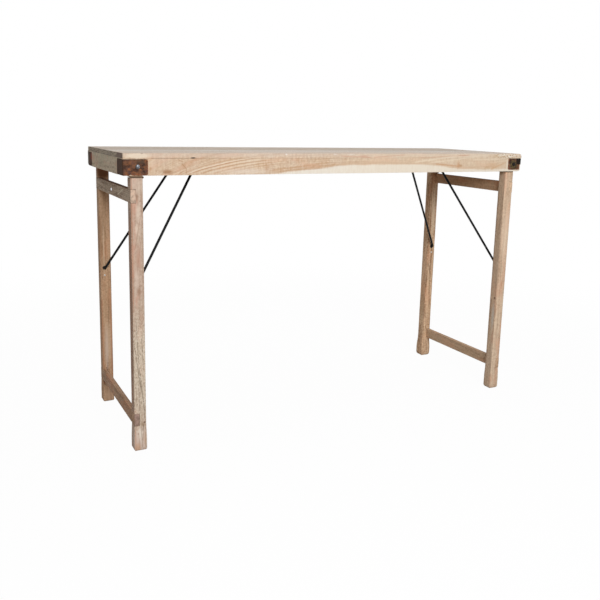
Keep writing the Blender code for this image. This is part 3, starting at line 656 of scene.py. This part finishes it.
def strap_blank(side, row, bottom, top):
    """The flat iron before bending: the long leaf towards +X, the end leaf towards -X."""
    bm = bmesh.new()
    turn_in = STRAP_BEND - STRAP_BEND * math.pi / 4 + STRAP
    long_end, short_end = LONG_LEAF[side] - turn_in, turn_in - END_LEAF
    bmesh.ops.create_grid(bm, x_segments=1, y_segments=1, size=0.5)
    for vertex in bm.verts:
        vertex.co.x = long_end if vertex.co.x > 0 else short_end
        vertex.co.y = top if vertex.co.y > 0 else bottom
    bmesh.ops.bevel(bm, geom=bm.verts[:], offset=FREE_CORNER, segments=5, profile=0.5, affect="VERTICES",
                    material=-1)
    at_bend = [0.0003 * step for step in range(-4, 5)]
    on_leaves = [0.004 * step for step in range(-18, 20)]
    for level in at_bend + on_leaves:
        band(bm, 0, level)
    bands(bm, 1, bottom, top, 13)
    if (side, row) == (RIGHT, FRONT):
        for axis, edge in ((0, "long"), (0, "end"), (1, "top")):
            band(bm, axis, LOST_FOOT[edge])
        middles = {face: face.calc_center_median() for face in bm.faces}
        lost = [face for face, middle in middles.items()
                if LOST_FOOT["end"] < middle.x < LOST_FOOT["long"] and middle.y < LOST_FOOT["top"]]
        bmesh.ops.delete(bm, geom=lost, context="FACES")
    for vertex in bm.verts:
        if vertex.is_boundary:
            ragged = RAGGED * (1.0 + noise.noise(vertex.co * 90.0 + Vector((side * 5.0, row * 3.0, 0.0))))
            middle = Vector(((long_end + short_end) / 2, (top + bottom) / 2, 0.0))
            inward = middle - vertex.co
            vertex.co.x += math.copysign(ragged, inward.x) if abs(inward.x) > 0.06 else 0.0
            vertex.co.y += math.copysign(ragged, inward.y) if abs(inward.y) > 0.02 else 0.0
            if (side, row) == (LEFT, FRONT) and vertex.co.y < bottom + 0.002:
                vertex.co.y += NOTCH_SIZE * math.exp(-((vertex.co.x - NOTCH_AT) / NOTCH_SIZE) ** 2)
        if (side, row) == (LEFT, BACK):
            fade = max(0.0, 1.0 - (vertex.co.y - bottom) / LOST_RISE)
            vertex.co.y += WORN_FOOT * fade * math.exp(-(vertex.co.x / LOST_REACH) ** 2)
    bm.normal_update()
    bmesh.ops.reverse_faces(bm, faces=[face for face in bm.faces if face.normal.z < 0.0])
    bm.normal_update()
    bmesh.ops.solidify(bm, geom=bm.faces[:], thickness=STRAP)
    return bm


def weld(bm):
    """Joins the points that lie on each other and turns the faces outwards."""
    bmesh.ops.remove_doubles(bm, verts=bm.verts[:], dist=0.00002)
    bmesh.ops.recalc_face_normals(bm, faces=bm.faces[:])


def bend_round(bm, side, row):
    """Bends the flat iron round the corner of the wood."""
    reach = STRAP_BEND * math.pi / 4
    lowest = min(vertex.co.z for vertex in bm.verts)
    pivot = STRAP_CORNER - Vector((STRAP_BEND, STRAP_BEND))
    for vertex in bm.verts:
        run, height, out = vertex.co.x, vertex.co.y, vertex.co.z - lowest
        angle = math.radians(45) + max(-reach, min(reach, run)) / STRAP_BEND
        x = pivot.x + (STRAP_BEND + out) * math.cos(angle) - max(0.0, run - reach)
        y = pivot.y + (STRAP_BEND + out) * math.sin(angle) - max(0.0, -run - reach)
        vertex.co = (side * x, row * y, height)
    weld(bm)
    if bm.calc_volume(signed=True) < 0.0:
        bmesh.ops.reverse_faces(bm, faces=bm.faces[:])


for corner, (side, row) in CORNERS.items():
    node = f"{corner}_corner_strap"
    low, high = corners(node)
    bm = strap_blank(side, row, low.z, high.z)
    bend_round(bm, side, row)
    made = piece(bm, node, "top", rusty_strap(f"rusty_{node}", side, row, low.z, high.z))
    softened = made.modifiers.new("softened", "BEVEL")
    softened.width = 0.0004
    softened.segments = 2


# Strap bolts: dome-headed coach bolts through each strap and apron into the end of a hinge rail. The
# left ones are rubbed to bare steel on the crown, and the right ones are still black.

BOLT = dict(radius=0.0075, height=0.005, shank=0.003, length=0.045)


def metal(name, base, worn, rub_share, metallic, rough, shine=0.2):
    """Iron or steel with a duller skin that is rubbed through in places."""
    skin = Finish(name)
    place = skin.place()
    patchy = skin.clouds(place, 120.0, 4.0, 0.6)
    grit = skin.clouds(place, 500.0, 3.0, 0.6)
    rubbed = skin.ramp(patchy, 0.62 - 0.3 * rub_share, 0.80 - 0.3 * rub_share)
    colour = skin.mix(rubbed, tone(*base), tone(*worn))
    colour = skin.mix(skin.ramp(grit, 0.55, 0.75) * 0.35, colour, tone(*(0.5 * value for value in base)))
    return skin.surface({"Base Color": colour, "Metallic": metallic, "Specular IOR Level": shine,
                         "Roughness": skin.ramp(grit, 0.3, 0.7, rough - 0.1, rough + 0.12),
                         "Normal": skin.relief(grit, 0.35, 0.0003)})


def turned_head(middle, out, radius, height, shank, length):
    """A domed head and its shank, turned about the way out of the wood."""
    bm = bmesh.new()
    turns = [math.radians(90) * step / 8 for step in range(9)]
    profile = [(radius * math.sin(turn), height * math.cos(turn)) for turn in turns]
    profile[-1] = (radius, 0.12 * height)
    profile += [(radius * 0.985, 0.0), (shank, 0.0), (shank, -length), (0.0, -length)]
    points = [bm.verts.new((x, 0.0, z)) for x, z in profile]
    edges = [bm.edges.new(pair) for pair in zip(points, points[1:])]
    bmesh.ops.spin(bm, geom=points + edges, cent=(0.0, 0.0, 0.0), axis=(0.0, 0.0, 1.0), dvec=(0.0, 0.0, 0.0),
                   angle=math.radians(360), steps=40, use_merge=True)
    weld(bm)
    for vertex in bm.verts:
        if vertex.co.z > 0.0:
            vertex.co.z *= 1.0 - 0.06 * (1.0 + noise.noise(vertex.co * 300.0))
    facing = out.to_track_quat("Z", "Y").to_matrix().to_4x4()
    bmesh.ops.transform(bm, matrix=Matrix.Translation(middle) @ facing, verts=bm.verts[:])
    return bm


bright_bolt = metal("rubbed_bolt_steel", (96, 96, 100), (164, 168, 176), 0.6, 0.6, 0.4)
black_bolt = metal("black_bolt_steel", (26, 23, 22), (58, 50, 44), 0.2, 0.4, 0.55)
for corner, (side, row) in CORNERS.items():
    node = f"{corner}_strap_bolt"
    low, high = corners(node)
    seat = max(abs(low.y), abs(high.y)) - BOLT["height"]
    middle = Vector(((low.x + high.x) / 2, row * seat, (low.z + high.z) / 2))
    bm = turned_head(middle, Vector((0.0, row, 0.0)), **BOLT)
    piece(bm, node, "top", bright_bolt if side == LEFT else black_bolt)


# Hinges: plain iron butt hinges with three knuckles, a leaf screwed under the hinge rail or pad and a
# leaf on the leg's top. The sheet shapes are already right, and only get their brown, rusty skin.

hinge_iron = metal("rusty_hinge_iron", (122, 96, 74), (156, 122, 92), 0.5, 0.1, 0.75)
for corner in CORNERS:
    for part in ("top_leaf", "leg_leaf", "pin"):
        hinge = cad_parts[f"{corner}_hinge_{part}"]
        hinge.data.materials.clear()
        hinge.data.materials.append(hinge_iron)


# Legs: square posts of the same bleached wood, housed on the outside for the rails, bored for the stay
# ends, and worn round at the feet. The bores themselves are near-black discs of painted shadow on the wood.
# The front left leg is cracked and greyed in its lower half.

INNER_X, OUTER_X = 0.7476, 0.7878
INNER_Y, OUTER_Y = 0.2250, 0.2635
HOUSING = 0.0173
HOUSINGS = ((0.0907, 0.1333), (0.8417, 0.8853))
LEG_BANDS = 112
SOLE_BANDS = (0.002, 0.0045)
LEG_EASED = 0.002
LEG_WEAR = 0.0022
FOOT_TOP = 0.10
FOOT_SHOULDER = 0.06
PIVOT_X = {LEFT: 0.7721, RIGHT: 0.7698}
PIVOT_HEIGHT = 0.541


def post(side, low, high):
    """A leg with its two housings: the outline seen from the front, drawn through to the back."""
    sunk = OUTER_X - HOUSING
    outline = [(INNER_X, low.z), (OUTER_X, low.z)]
    for bottom, top in HOUSINGS:
        outline += [(OUTER_X, bottom), (sunk, bottom), (sunk, top), (OUTER_X, top)]
    outline += [(OUTER_X, high.z), (INNER_X, high.z)]
    bm = bmesh.new()
    face = bm.faces.new([bm.verts.new((side * x, low.y, z)) for x, z in outline])
    drawn = bmesh.ops.extrude_face_region(bm, geom=[face])["geom"]
    moved = [item for item in drawn if isinstance(item, bmesh.types.BMVert)]
    bmesh.ops.translate(bm, verts=moved, vec=(0.0, high.y - low.y, 0.0))
    bmesh.ops.recalc_face_normals(bm, faces=bm.faces[:])
    upright = [edge for edge in bm.edges
               if abs(edge.verts[0].co.z - edge.verts[1].co.z) > 0.01
               and abs(abs(edge.verts[0].co.x) - sunk) > NEAR]
    ease(bm, upright, LEG_EASED, 3)
    return bm


def shape_foot(bm, middle, flare, rounding, floor):
    """Swells the foot of a leg a little and wears its sole round."""
    for vertex in bm.verts:
        height = vertex.co.z - floor
        if height < FOOT_TOP:
            shoulder = min(1.0, (FOOT_TOP - height) / FOOT_SHOULDER)
            swell = flare * shoulder * shoulder * (3.0 - 2.0 * shoulder)
            lift = max(0.0, rounding - height)
            tuck = rounding - math.sqrt(max(0.0, rounding * rounding - lift * lift))
            away = Vector((vertex.co.x - middle.x, vertex.co.y - middle.y, 0.0))
            reach = max(abs(away.x), abs(away.y))
            vertex.co += away * ((swell - tuck) / reach if reach > NEAR else 0.0)


def roughened(wood, place, colour, hollows):
    """The lower half of the front left leg, where weather has raised the grain in light and dark specks."""
    height = wood.axes(place)[2]
    worn = wood.ramp(height + (wood.clouds(place, (30.0, 30.0, 12.0)) - 0.5) * 0.12, 0.52, 0.42)
    worn = worn * wood.ramp(height, 0.10, 0.16)
    specks = wood.clouds(place, (240.0, 240.0, 120.0), 3.0, 0.7, (1.0, 6.0, 2.0))
    colour = wood.mix(wood.ramp(specks, 0.52, 0.66) * worn * 0.6, colour, tone(136, 116, 94))
    colour = wood.mix(wood.ramp(specks, 0.47, 0.34) * worn * 0.7, colour, tone(240, 230, 214))
    return colour, hollows + specks * worn


FEET = {"front_left": (0.0017, 0.009), "back_left": (0.0010, 0.006),
        "front_right": (0.0014, 0.010), "back_right": (0.0034, 0.013)}
LEG_LOOKS = {
    "front_left": look((210, 188, 170), (198, 172, 153), (158, 124, 102),
                       figure=0.55, streak=0.65, mottle=0.5, blush=0.8, grey=0.3, grey_tone=(202, 190, 168)),
    "back_left": look((216, 180, 146), (202, 164, 129), (144, 104, 75),
                      figure=0.65, streak=0.9, mottle=0.5, grey=0.1, shift=(2.0, 3.0, 4.0)),
    "front_right": look((234, 209, 182), (221, 193, 165), (166, 129, 100),
                        figure=0.5, streak=0.65, blush=0.5, grey=0.12, shift=(5.0, 1.0, 2.0)),
    "back_right": look((246, 211, 176), (228, 189, 152), (144, 102, 72),
                       figure=0.8, streak=1.0, mottle=0.7, grey=0.06, shift=(1.0, 7.0, 3.0)),
}
FOOT_FACE = -OUTER_Y - 0.0013
LEG_PATCHES = {
    "front_left": [
        ((-0.768, 0.27), (0.04, 0.02, 0.24), 0.5, 1.2, (226, 213, 191), 0.6),
        ((-0.768, 0.04), (0.04, 0.03, 0.055), 0.5, 0.6, (238, 224, 212), 0.55),
        ((-0.768, 0.060), (0.013, 0.01, 0.032), 0.2, 0.9, (242, 232, 216), 0.6),
        ((-0.777, 0.014), (0.015, 0.01, 0.026), 0.2, 0.7, (206, 158, 120), 0.65),
        ((-0.753, 0.045), (0.006, 0.01, 0.045), 0.2, 0.9, (204, 172, 142), 0.6),
        ((-0.776, 0.062), (0.003, 0.004, 0.006), 0.2, 0.6, (150, 120, 104), 0.6),
        ((-0.768, 0.90), (0.03, 0.02, 0.035), 0.3, 0.8, (228, 208, 190), 0.5),
        ((-0.765, 0.815), (0.013, 0.02, 0.038), 0.1, 0.8, (230, 212, 194), 0.6),
        ((-0.770, 0.758), (0.009, 0.02, 0.032), 0.1, 0.8, (232, 214, 196), 0.7),
        ((-0.790, -0.244, 0.46), (0.006, 0.04, 0.60), 0.3, 0.5, (172, 128, 102), 0.75),
        # Painted light: the top of the outer face is paled to lift the shadow under the hinge pad and strap.
        ((-0.790, -0.244, 0.86), (0.006, 0.04, 0.06), 0.3, 0.5, (236, 212, 190), 0.8),
        ((-0.790, -0.244, 0.30), (0.006, 0.04, 0.11), 0.3, 0.6, (150, 114, 90), 0.35),
        ((-0.790, -0.244, 0.06), (0.006, 0.04, 0.07), 0.3, 0.5, (232, 214, 200), 0.6),
        ((-0.763, 0.67), (0.018, 0.02, 0.08), 0.1, 0.9, (188, 154, 134), 0.5),
        ((-0.772, 0.60), (0.010, 0.01, 0.05), 0.1, 0.9, (226, 204, 188), 0.5),
        ((-0.766, 0.553), (0.010, 0.01, 0.022), 0.1, 0.6, (160, 120, 96), 0.7),
        ((-0.758, 0.47), (0.010, 0.01, 0.04), 0.1, 0.9, (186, 148, 126), 0.5),
        ((-0.7537, 0.101), (0.005, 0.003, 0.0045), 0.3, 0.5, (96, 62, 40), 0.9),
        ((-0.760, 0.095), (0.010, 0.004, 0.012), 0.2, 0.5, (150, 120, 92), 0.6),
        ((-0.771, 0.864), (0.003, 0.004, 0.020), 0.3, 0.9, (124, 98, 78), 0.6),
        ((-0.777, 0.849), (0.005, 0.004, 0.004), 0.3, 0.5, (124, 98, 78), 0.7),
    ],
    "back_left": [
        # Painted shade: the top of the leg above the rail is painted dark where the tabletop shades it.
        ((-0.768, 0.915), (0.04, 0.03, 0.036), 0.6, 0.4, (128, 80, 48), 0.85),
        # Painted shadow: a near-black disc where the stay end enters the leg, standing for the bored hole.
        ((-PIVOT_X[LEFT], PIVOT_HEIGHT), (0.0088, 0.0088), 0.8, 0.2, (18, 15, 13), 1.0),
        ((-0.785, 0.60), (0.007, 0.01, 0.22), 0.1, 0.6, (164, 124, 94), 0.6),
        ((-0.774, 0.62), (0.004, 0.01, 0.14), 0.1, 0.8, (230, 206, 176), 0.6),
        ((-0.768, 0.25), (0.03, 0.03, 0.12), 0.3, 0.9, (228, 198, 168), 0.5),
        ((-0.764, 0.03), (0.03, 0.03, 0.06), 0.3, 0.6, (214, 180, 150), 0.6),
        ((-0.771, 0.21), (0.009, 0.01, 0.13), 0.2, 0.8, (220, 200, 184), 0.6),
        ((-0.784, 0.082), (0.006, 0.01, 0.012), 0.2, 0.6, (136, 74, 48), 0.8),
        ((-0.7745, 0.1390), (0.0034, 0.004, 0.0050), 0.3, 0.4, (112, 74, 56), 0.8),
    ],
    "front_right": [
        ((0.768, 0.68), (0.03, 0.02, 0.15), 0.3, 0.9, (248, 224, 198), 0.5),
        # Painted shadow: a dark line along the top of the leg, under the apron.
        ((0.768, -0.245, 0.9295), (0.05, 0.04, 0.006), 0.5, 0.3, (108, 80, 58), 0.85),
        ((0.786, 0.128), (0.005, 0.006, 0.012), 0.4, 0.4, (132, 100, 74), 0.8),
        ((INNER_X, -0.250, 0.320), (0.004, 0.011, 0.075), 0.3, 0.9, (224, 214, 202), 0.75),
        ((INNER_X, -0.2535, 0.398), (0.004, 0.006, 0.007), 0.3, 0.6, (92, 62, 44), 0.85),
        ((INNER_X, -0.262, 0.345), (0.004, 0.003, 0.030), 0.3, 0.9, (150, 118, 90), 0.6),
        ((0.770, 0.455), (0.004, 0.004, 0.030), 0.2, 1.4, (186, 130, 98), 0.6),
        ((0.762, 0.425), (0.003, 0.004, 0.020), 0.2, 1.4, (188, 132, 100), 0.5),
    ],
    "back_right": [
        ((0.768, 0.06), (0.04, 0.05, 0.08), 0.4, 0.6, (236, 202, 168), 0.3),
        # Painted shadow: a near-black disc where the stay end enters the leg, standing for the bored hole.
        ((PIVOT_X[RIGHT], PIVOT_HEIGHT), (0.0096, 0.0096), 0.8, 0.2, (18, 15, 13), 1.0),
        # Painted shade: the top of the leg above the rail is painted darker where the tabletop shades it.
        ((0.768, 0.905), (0.04, 0.03, 0.045), 0.5, 0.5, (170, 126, 92), 0.7),
        # Painted light, over a paler streak of the wood: a pale band down the front face that lifts the shade
        # from the top.
        ((0.770, 0.70), (0.015, 0.01, 0.15), 0.2, 0.9, (250, 224, 192), 0.75),
        ((INNER_X, 0.245, 0.26), (0.004, 0.03, 0.12), 0.3, 0.8, (192, 154, 120), 0.5),
        ((0.755, 0.62), (0.006, 0.01, 0.16), 0.1, 0.9, (176, 134, 102), 0.6),
    ],
}
LEG_STROKES = {
    "front_left": [
        ((-0.786, FOOT_FACE, 0.085), (-0.785, FOOT_FACE, 0.005), 0.0035, 1.0, (194, 150, 120), 0.6),
        ((-0.757, FOOT_FACE, 0.092), (-0.763, FOOT_FACE, 0.010), 0.0026, 1.2, (164, 132, 106), 0.6),
        ((-0.775, FOOT_FACE, 0.070), (-0.772, FOOT_FACE, 0.008), 0.0020, 1.2, (176, 142, 118), 0.5),
        ((-0.7655, FOOT_FACE, 0.092), (-0.7636, FOOT_FACE, 0.036), 0.0018, 1.2, (150, 120, 96), 0.65),
        ((-0.7565, 0.094), (-0.7612, 0.068), 0.0022, 0.8, (112, 84, 62), 0.75),
        ((-0.7526, FOOT_FACE, 0.072), (-0.7511, FOOT_FACE, 0.008), 0.0018, 1.2, (160, 126, 98), 0.6),
        ((-0.772, 0.230), (-0.769, 0.140), 0.0024, 1.2, (150, 126, 114), 0.6),
        ((-0.780, 0.220), (-0.778, 0.150), 0.0020, 1.2, (166, 138, 120), 0.55),
        ((-0.757, 0.180), (-0.753, 0.110), 0.0020, 1.2, (136, 112, 92), 0.65),
        ((-0.7845, 0.93), (-0.7845, 0.48), 0.0035, 1.0, (182, 134, 108), 0.6),
        ((-0.757, 0.80), (-0.777, 0.69), 0.0022, 1.5, (172, 136, 114), 0.5),
        ((-0.752, 0.75), (-0.772, 0.61), 0.0022, 1.5, (174, 138, 116), 0.5),
        ((-0.786, 0.39), (-0.762, 0.20), 0.0016, 1.0, (112, 92, 74), 0.8),
        ((-0.778, 0.47), (-0.770, 0.30), 0.0012, 1.0, (118, 98, 80), 0.7),
        ((-0.770, 0.30), (-0.752, 0.13), 0.0016, 1.0, (112, 94, 74), 0.8),
        ((-0.760, 0.40), (-0.754, 0.28), 0.0012, 1.0, (120, 98, 80), 0.7),
    ],
    "back_left": [
        ((-0.7855, 0.44), (-0.7850, 0.12), 0.0040, 1.0, (184, 128, 98), 0.6),
        ((-0.7525, 0.44), (-0.7525, 0.08), 0.0040, 1.0, (186, 128, 96), 0.6),
    ],
    "front_right": [],
    "back_right": [
        ((0.757, 0.460), (0.772, 0.400), 0.0025, 1.0, (96, 72, 54), 0.7),
    ],
}
for corner, (side, row) in CORNERS.items():
    node = f"{corner}_leg"
    low, high = corners(node)
    low.y, high.y = sorted((row * INNER_Y, row * OUTER_Y))
    bm = post(side, low, high)
    for level in range(1, LEG_BANDS):
        height = low.z + (high.z - low.z) * level / LEG_BANDS
        if all(abs(height - edge) > NEAR for pair in HOUSINGS for edge in pair):
            band(bm, 2, height)
    for level in SOLE_BANDS:
        band(bm, 2, low.z + level)
    for share in (0.25, 0.5, 0.75):
        band(bm, 1, low.y + (high.y - low.y) * share)
        band(bm, 0, side * (INNER_X + (OUTER_X - INNER_X) * share))
    rub(bm, lambda at: LEG_WEAR)
    flare, rounding = FEET[corner]
    middle = Vector((side * (INNER_X + OUTER_X) / 2, row * (INNER_Y + OUTER_Y) / 2, 0.0))
    shape_foot(bm, middle, flare, rounding, low.z)
    wood = Finish(f"bleached_{node}")
    place = wood.place()
    colour, fibres, hollows = timber(wood, place, 2, LEG_LOOKS[corner])
    colour = marked(wood, place, colour, low.y, LEG_PATCHES[corner], LEG_STROKES[corner])
    if corner == "front_left":
        colour, hollows = roughened(wood, place, colour, hollows)
    piece(bm, node, f"{SIDE_NAMES[side]}_leg_frame", seal(wood, colour, fibres, hollows))


# Upper rails and stretchers: thin sawn boards let flush into the outside of each pair of legs, darker
# than the legs, with their sawn ends showing on the legs' front faces.

RAIL_LOOKS = {
    "left_upper_rail": look((226, 206, 183), (210, 188, 164), (130, 103, 82),
                            figure=0.7, streak=1.0, mottle=0.8, blush=0.6),
    "left_stretcher": look((210, 176, 147), (196, 160, 130), (136, 100, 74),
                           figure=0.65, streak=0.95, mottle=0.7, blush=0.6, shift=(3.0, 1.0, 0.0)),
    "right_upper_rail": look((228, 188, 152), (212, 172, 136), (146, 108, 78),
                             figure=0.5, streak=0.55, shift=(6.0, 1.0, 2.0)),
    "right_stretcher": look((230, 200, 168), (218, 186, 154), (158, 122, 92),
                            figure=0.5, streak=0.55, shift=(8.0, 2.0, 2.0)),
}
RAIL_ENDS = {"left_upper_rail": (184, 160, 142), "left_stretcher": (138, 116, 108),
             "right_upper_rail": (200, 174, 148), "right_stretcher": (176, 146, 120)}
UPPER_EDGE = HOUSINGS[1][1]
for node, plank in RAIL_LOOKS.items():
    low, high = corners(node)
    side_name = node.split("_")[0]
    bm = sawn_block(low, high)
    ease(bm, bm.edges[:], EASED)
    band_all(bm, low, high, (0.0085, 0.008, 0.0105))
    rub(bm, lambda at: 0.0014 if abs(at.y) < INNER_Y - 0.003 else 0.0003)
    wood = Finish(f"weathered_{node}")
    place = wood.place()
    colour, fibres, hollows = timber(wood, place, 1, plank)
    _, depth, height = wood.axes(place)
    sawn_end = wood.ramp(depth, 0.002 - OUTER_Y, 0.0005 - OUTER_Y)
    spots = wood.ramp(wood.clouds(place, (110.0, 110.0, 75.0), 3.0, 0.6), 0.40, 0.60)
    dull = RAIL_ENDS[node]
    end_colour = wood.mix(spots, tone(*dull), tone(*(min(250, 1.22 * value) for value in dull)))
    colour = wood.mix(sawn_end * 0.85, colour, end_colour)
    # Painted shade: the top edge of each upper rail is painted dark brown where the tabletop shades it.
    top_edge_shade = wood.ramp(height, UPPER_EDGE - 0.0015, UPPER_EDGE - 0.0003)
    colour = wood.mix(top_edge_shade * 0.8, colour, tone(108, 70, 48))
    if node == "left_upper_rail":
        scratch = wood.line(place, (-OUTER_X, -0.165, 0.8785), (-OUTER_X, -0.080, 0.8510), 0.0036, 0.6)
        colour = wood.mix(scratch * 0.75, colour, tone(248, 236, 210))
    piece(bm, node, f"{side_name}_leg_frame", seal(wood, colour, fibres, hollows))


# Stay nails and the rail stud: bright round-headed nails, one under each stay end and one stud in the
# middle of the left upper rail.

NAIL = dict(radius=0.0035, height=0.0016, shank=0.0013, length=0.017)
STUD = dict(radius=0.0055, height=0.0038, shank=0.0015, length=0.011)
nail_skin = metal("bright_nail_steel", (196, 192, 188), (232, 230, 228), 0.6, 0.4, 0.4)
for corner, (side, row) in CORNERS.items():
    node = f"{corner}_stay_nail"
    low, high = corners(node)
    seat = min(abs(low.y), abs(high.y)) + NAIL["height"]
    middle = Vector(((low.x + high.x) / 2, row * seat, (low.z + high.z) / 2))
    bm = turned_head(middle, Vector((0.0, -row, 0.0)), **NAIL)
    piece(bm, node, f"{SIDE_NAMES[side]}_leg_frame", nail_skin)
low, high = corners("left_rail_stud")
middle = Vector((low.x + STUD["height"], (low.y + high.y) / 2, (low.z + high.z) / 2))
bm = turned_head(middle, Vector((-1.0, 0.0, 0.0)), **STUD)
stud_skin = metal("polished_stud_steel", (222, 222, 226), (240, 240, 244), 0.6, 0.95, 0.3)
piece(bm, "left_rail_stud", "left_leg_frame", stud_skin)


# Stays: each one a length of round black iron rod, its ends turned out into the legs, two arms leaning
# in to the middle, and a crossbar that hooks into a keeper under the top.

ROD_RADIUS = 0.0045
IN_LEG = 0.0198
OUT_OF_LEG = 0.010
ROD_BENDS = (0.010, 0.022, 0.022, 0.010)
CROSSBAR = {LEFT: Vector((0.5223, 0.1155, 0.952)), RIGHT: Vector((0.5283, 0.0995, 0.952))}
stay_iron = metal("black_stay_iron", (7, 7, 8), (18, 18, 20), 0.2, 0.3, 0.5, 0.18)


def bent_rod(points, radii):
    """Points along a rod: straight runs, with an arc at each inner corner."""
    path = [points[0]]
    for before, corner, after, radius in zip(points, points[1:], points[2:], radii):
        back = (before - corner).normalized()
        ahead = (after - corner).normalized()
        half = back.angle(ahead) / 2
        centre = corner + (back + ahead).normalized() * radius / math.sin(half)
        start = corner + back * radius / math.tan(half)
        turn = Matrix.Rotation(-(math.pi - 2 * half) / 8, 3, back.cross(ahead).normalized())
        arm = start - centre
        for _ in range(9):
            path.append(centre + arm)
            arm = turn @ arm
    path.append(points[-1])
    return path


for side, side_name in SIDE_NAMES.items():
    pivot_x = side * PIVOT_X[side]
    crossbar = CROSSBAR[side]
    near = [Vector((pivot_x, -INNER_Y - IN_LEG, PIVOT_HEIGHT)),
            Vector((pivot_x, -INNER_Y + OUT_OF_LEG, PIVOT_HEIGHT)),
            Vector((side * crossbar.x, -crossbar.y, crossbar.z))]
    far = [Vector((point.x, -point.y, point.z)) for point in reversed(near)]
    path = bent_rod(near + far, ROD_BENDS)
    curve = bpy.data.curves.new("rod", "CURVE")
    curve.dimensions = "3D"
    curve.bevel_depth = ROD_RADIUS
    curve.bevel_resolution = 6
    curve.use_fill_caps = True
    spline = curve.splines.new("POLY")
    spline.points.add(len(path) - 1)
    for point, at in zip(spline.points, path):
        point.co = (*at, 1.0)
    rod = bpy.data.objects.new("rod", curve)
    bm = bmesh.new()
    bm.from_mesh(rod.to_mesh())
    bpy.data.objects.remove(rod)
    weld(bm)
    piece(bm, f"{side_name}_stay", f"{side_name}_stay", stay_iron)


# Stay keepers: short iron plates under the battens, folded to a lip that holds the crossbar of a stay and
# opens towards the middle. Their folded shape stays, under a blackened skin with some rust.

keeper_iron = metal("blackened_keeper_iron", (46, 38, 34), (104, 74, 54), 0.45, 0.55, 0.6)
for side_name in SIDE_NAMES.values():
    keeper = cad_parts[f"{side_name}_stay_keeper"]
    keeper.data.materials.clear()
    keeper.data.materials.append(keeper_iron)


# Setting: a plain white floor that keeps the table's soft shadow, even daylight from all round, one wide
# lamp before the table on the left, and two weaker ones over and behind it.

def looked_at(finish):
    """Whether the eye meets a surface directly, mirrored or through glass, and not only by its light."""
    rays = finish.node("ShaderNodeLightPath", {}, {}).socket.node.outputs
    direct, mirrored, through = (Field(finish, rays[f"Is {kind} Ray"])
                                 for kind in ("Camera", "Glossy", "Transmission"))
    return direct.most(mirrored).most(through)


floor_finish = Finish("white_floor")
near_table = floor_finish.patch(floor_finish.place(), (0.0, 0.0, 0.0), (3.2, 3.2, 3.2), 0.4)
matt = floor_finish.node("ShaderNodeBsdfDiffuse", {}, {"Color": (0.95, 0.95, 0.95, 1.0)})
white = floor_finish.node("ShaderNodeEmission", {}, {"Color": (1.0, 1.0, 1.0, 1.0), "Strength": 1.0})
shown = floor_finish.node("ShaderNodeMixShader", {}, {0: 1.0 - near_table * 0.035, 1: matt, 2: white})
lit = floor_finish.node("ShaderNodeBsdfDiffuse", {}, {"Color": (0.38, 0.34, 0.30, 1.0)})
surface = floor_finish.node("ShaderNodeMixShader", {}, {0: looked_at(floor_finish), 1: lit, 2: shown})
floor_finish.feed(floor_finish.tree.nodes["Material Output"].inputs["Surface"], surface)
bm = bmesh.new()
bmesh.ops.create_grid(bm, x_segments=1, y_segments=1, size=20.0)
bmesh.ops.translate(bm, verts=bm.verts[:], vec=(0.0, 0.0, -0.0004))
mesh = bpy.data.meshes.new("floor")
bm.to_mesh(mesh)
bm.free()
mesh.materials.append(floor_finish.made)
floor = bpy.data.objects.new("floor", mesh)
bpy.context.scene.collection.objects.link(floor)

daylight = Finish("daylight", "worlds", "Background")
level = daylight.node("ShaderNodeMapRange", {}, {"Value": looked_at(daylight), "To Min": 0.26, "To Max": 1.0})
bpy.context.scene.world = daylight.surface({"Color": (1.0, 1.0, 1.0, 1.0), "Strength": level})

for name, at, aim, width, depth, power in (
        ("front_lamp", (-0.8, -4.1, 2.6), (0.0, 0.0, 0.6), 2.4, 1.6, 142.0),
        ("top_lamp", (0.0, 0.0, 3.4), (0.0, 0.0, 0.0), 2.0, 2.0, 12.0),
        ("back_lamp", (0.8, 4.1, 2.4), (0.0, 0.0, 0.6), 2.4, 1.6, 45.0)):
    light = bpy.data.lights.new(name, "AREA")
    light.shape = "RECTANGLE"
    light.size = width
    light.size_y = depth
    light.energy = power
    lamp = bpy.data.objects.new(name, light)
    lamp.location = at
    lamp.rotation_euler = (Vector(aim) - Vector(at)).to_track_quat("-Z", "Y").to_euler()
    lamp.visible_glossy = name == "front_lamp"
    bpy.context.scene.collection.objects.link(lamp)

camera_data = bpy.data.cameras.new("camera")
camera_data.sensor_width = 36.0
camera_data.lens = 43.9953
camera_data.shift_x = 0.01508
camera_data.shift_y = -0.06878
camera = bpy.data.objects.new("camera", camera_data)
camera.location = (-1.35661, -2.56286, 1.10722)
camera.rotation_euler = (1.38619, -0.02224, -0.456)
bpy.context.scene.collection.objects.link(camera)
bpy.context.scene.camera = camera
bpy.context.scene.view_settings.view_transform = "Standard"
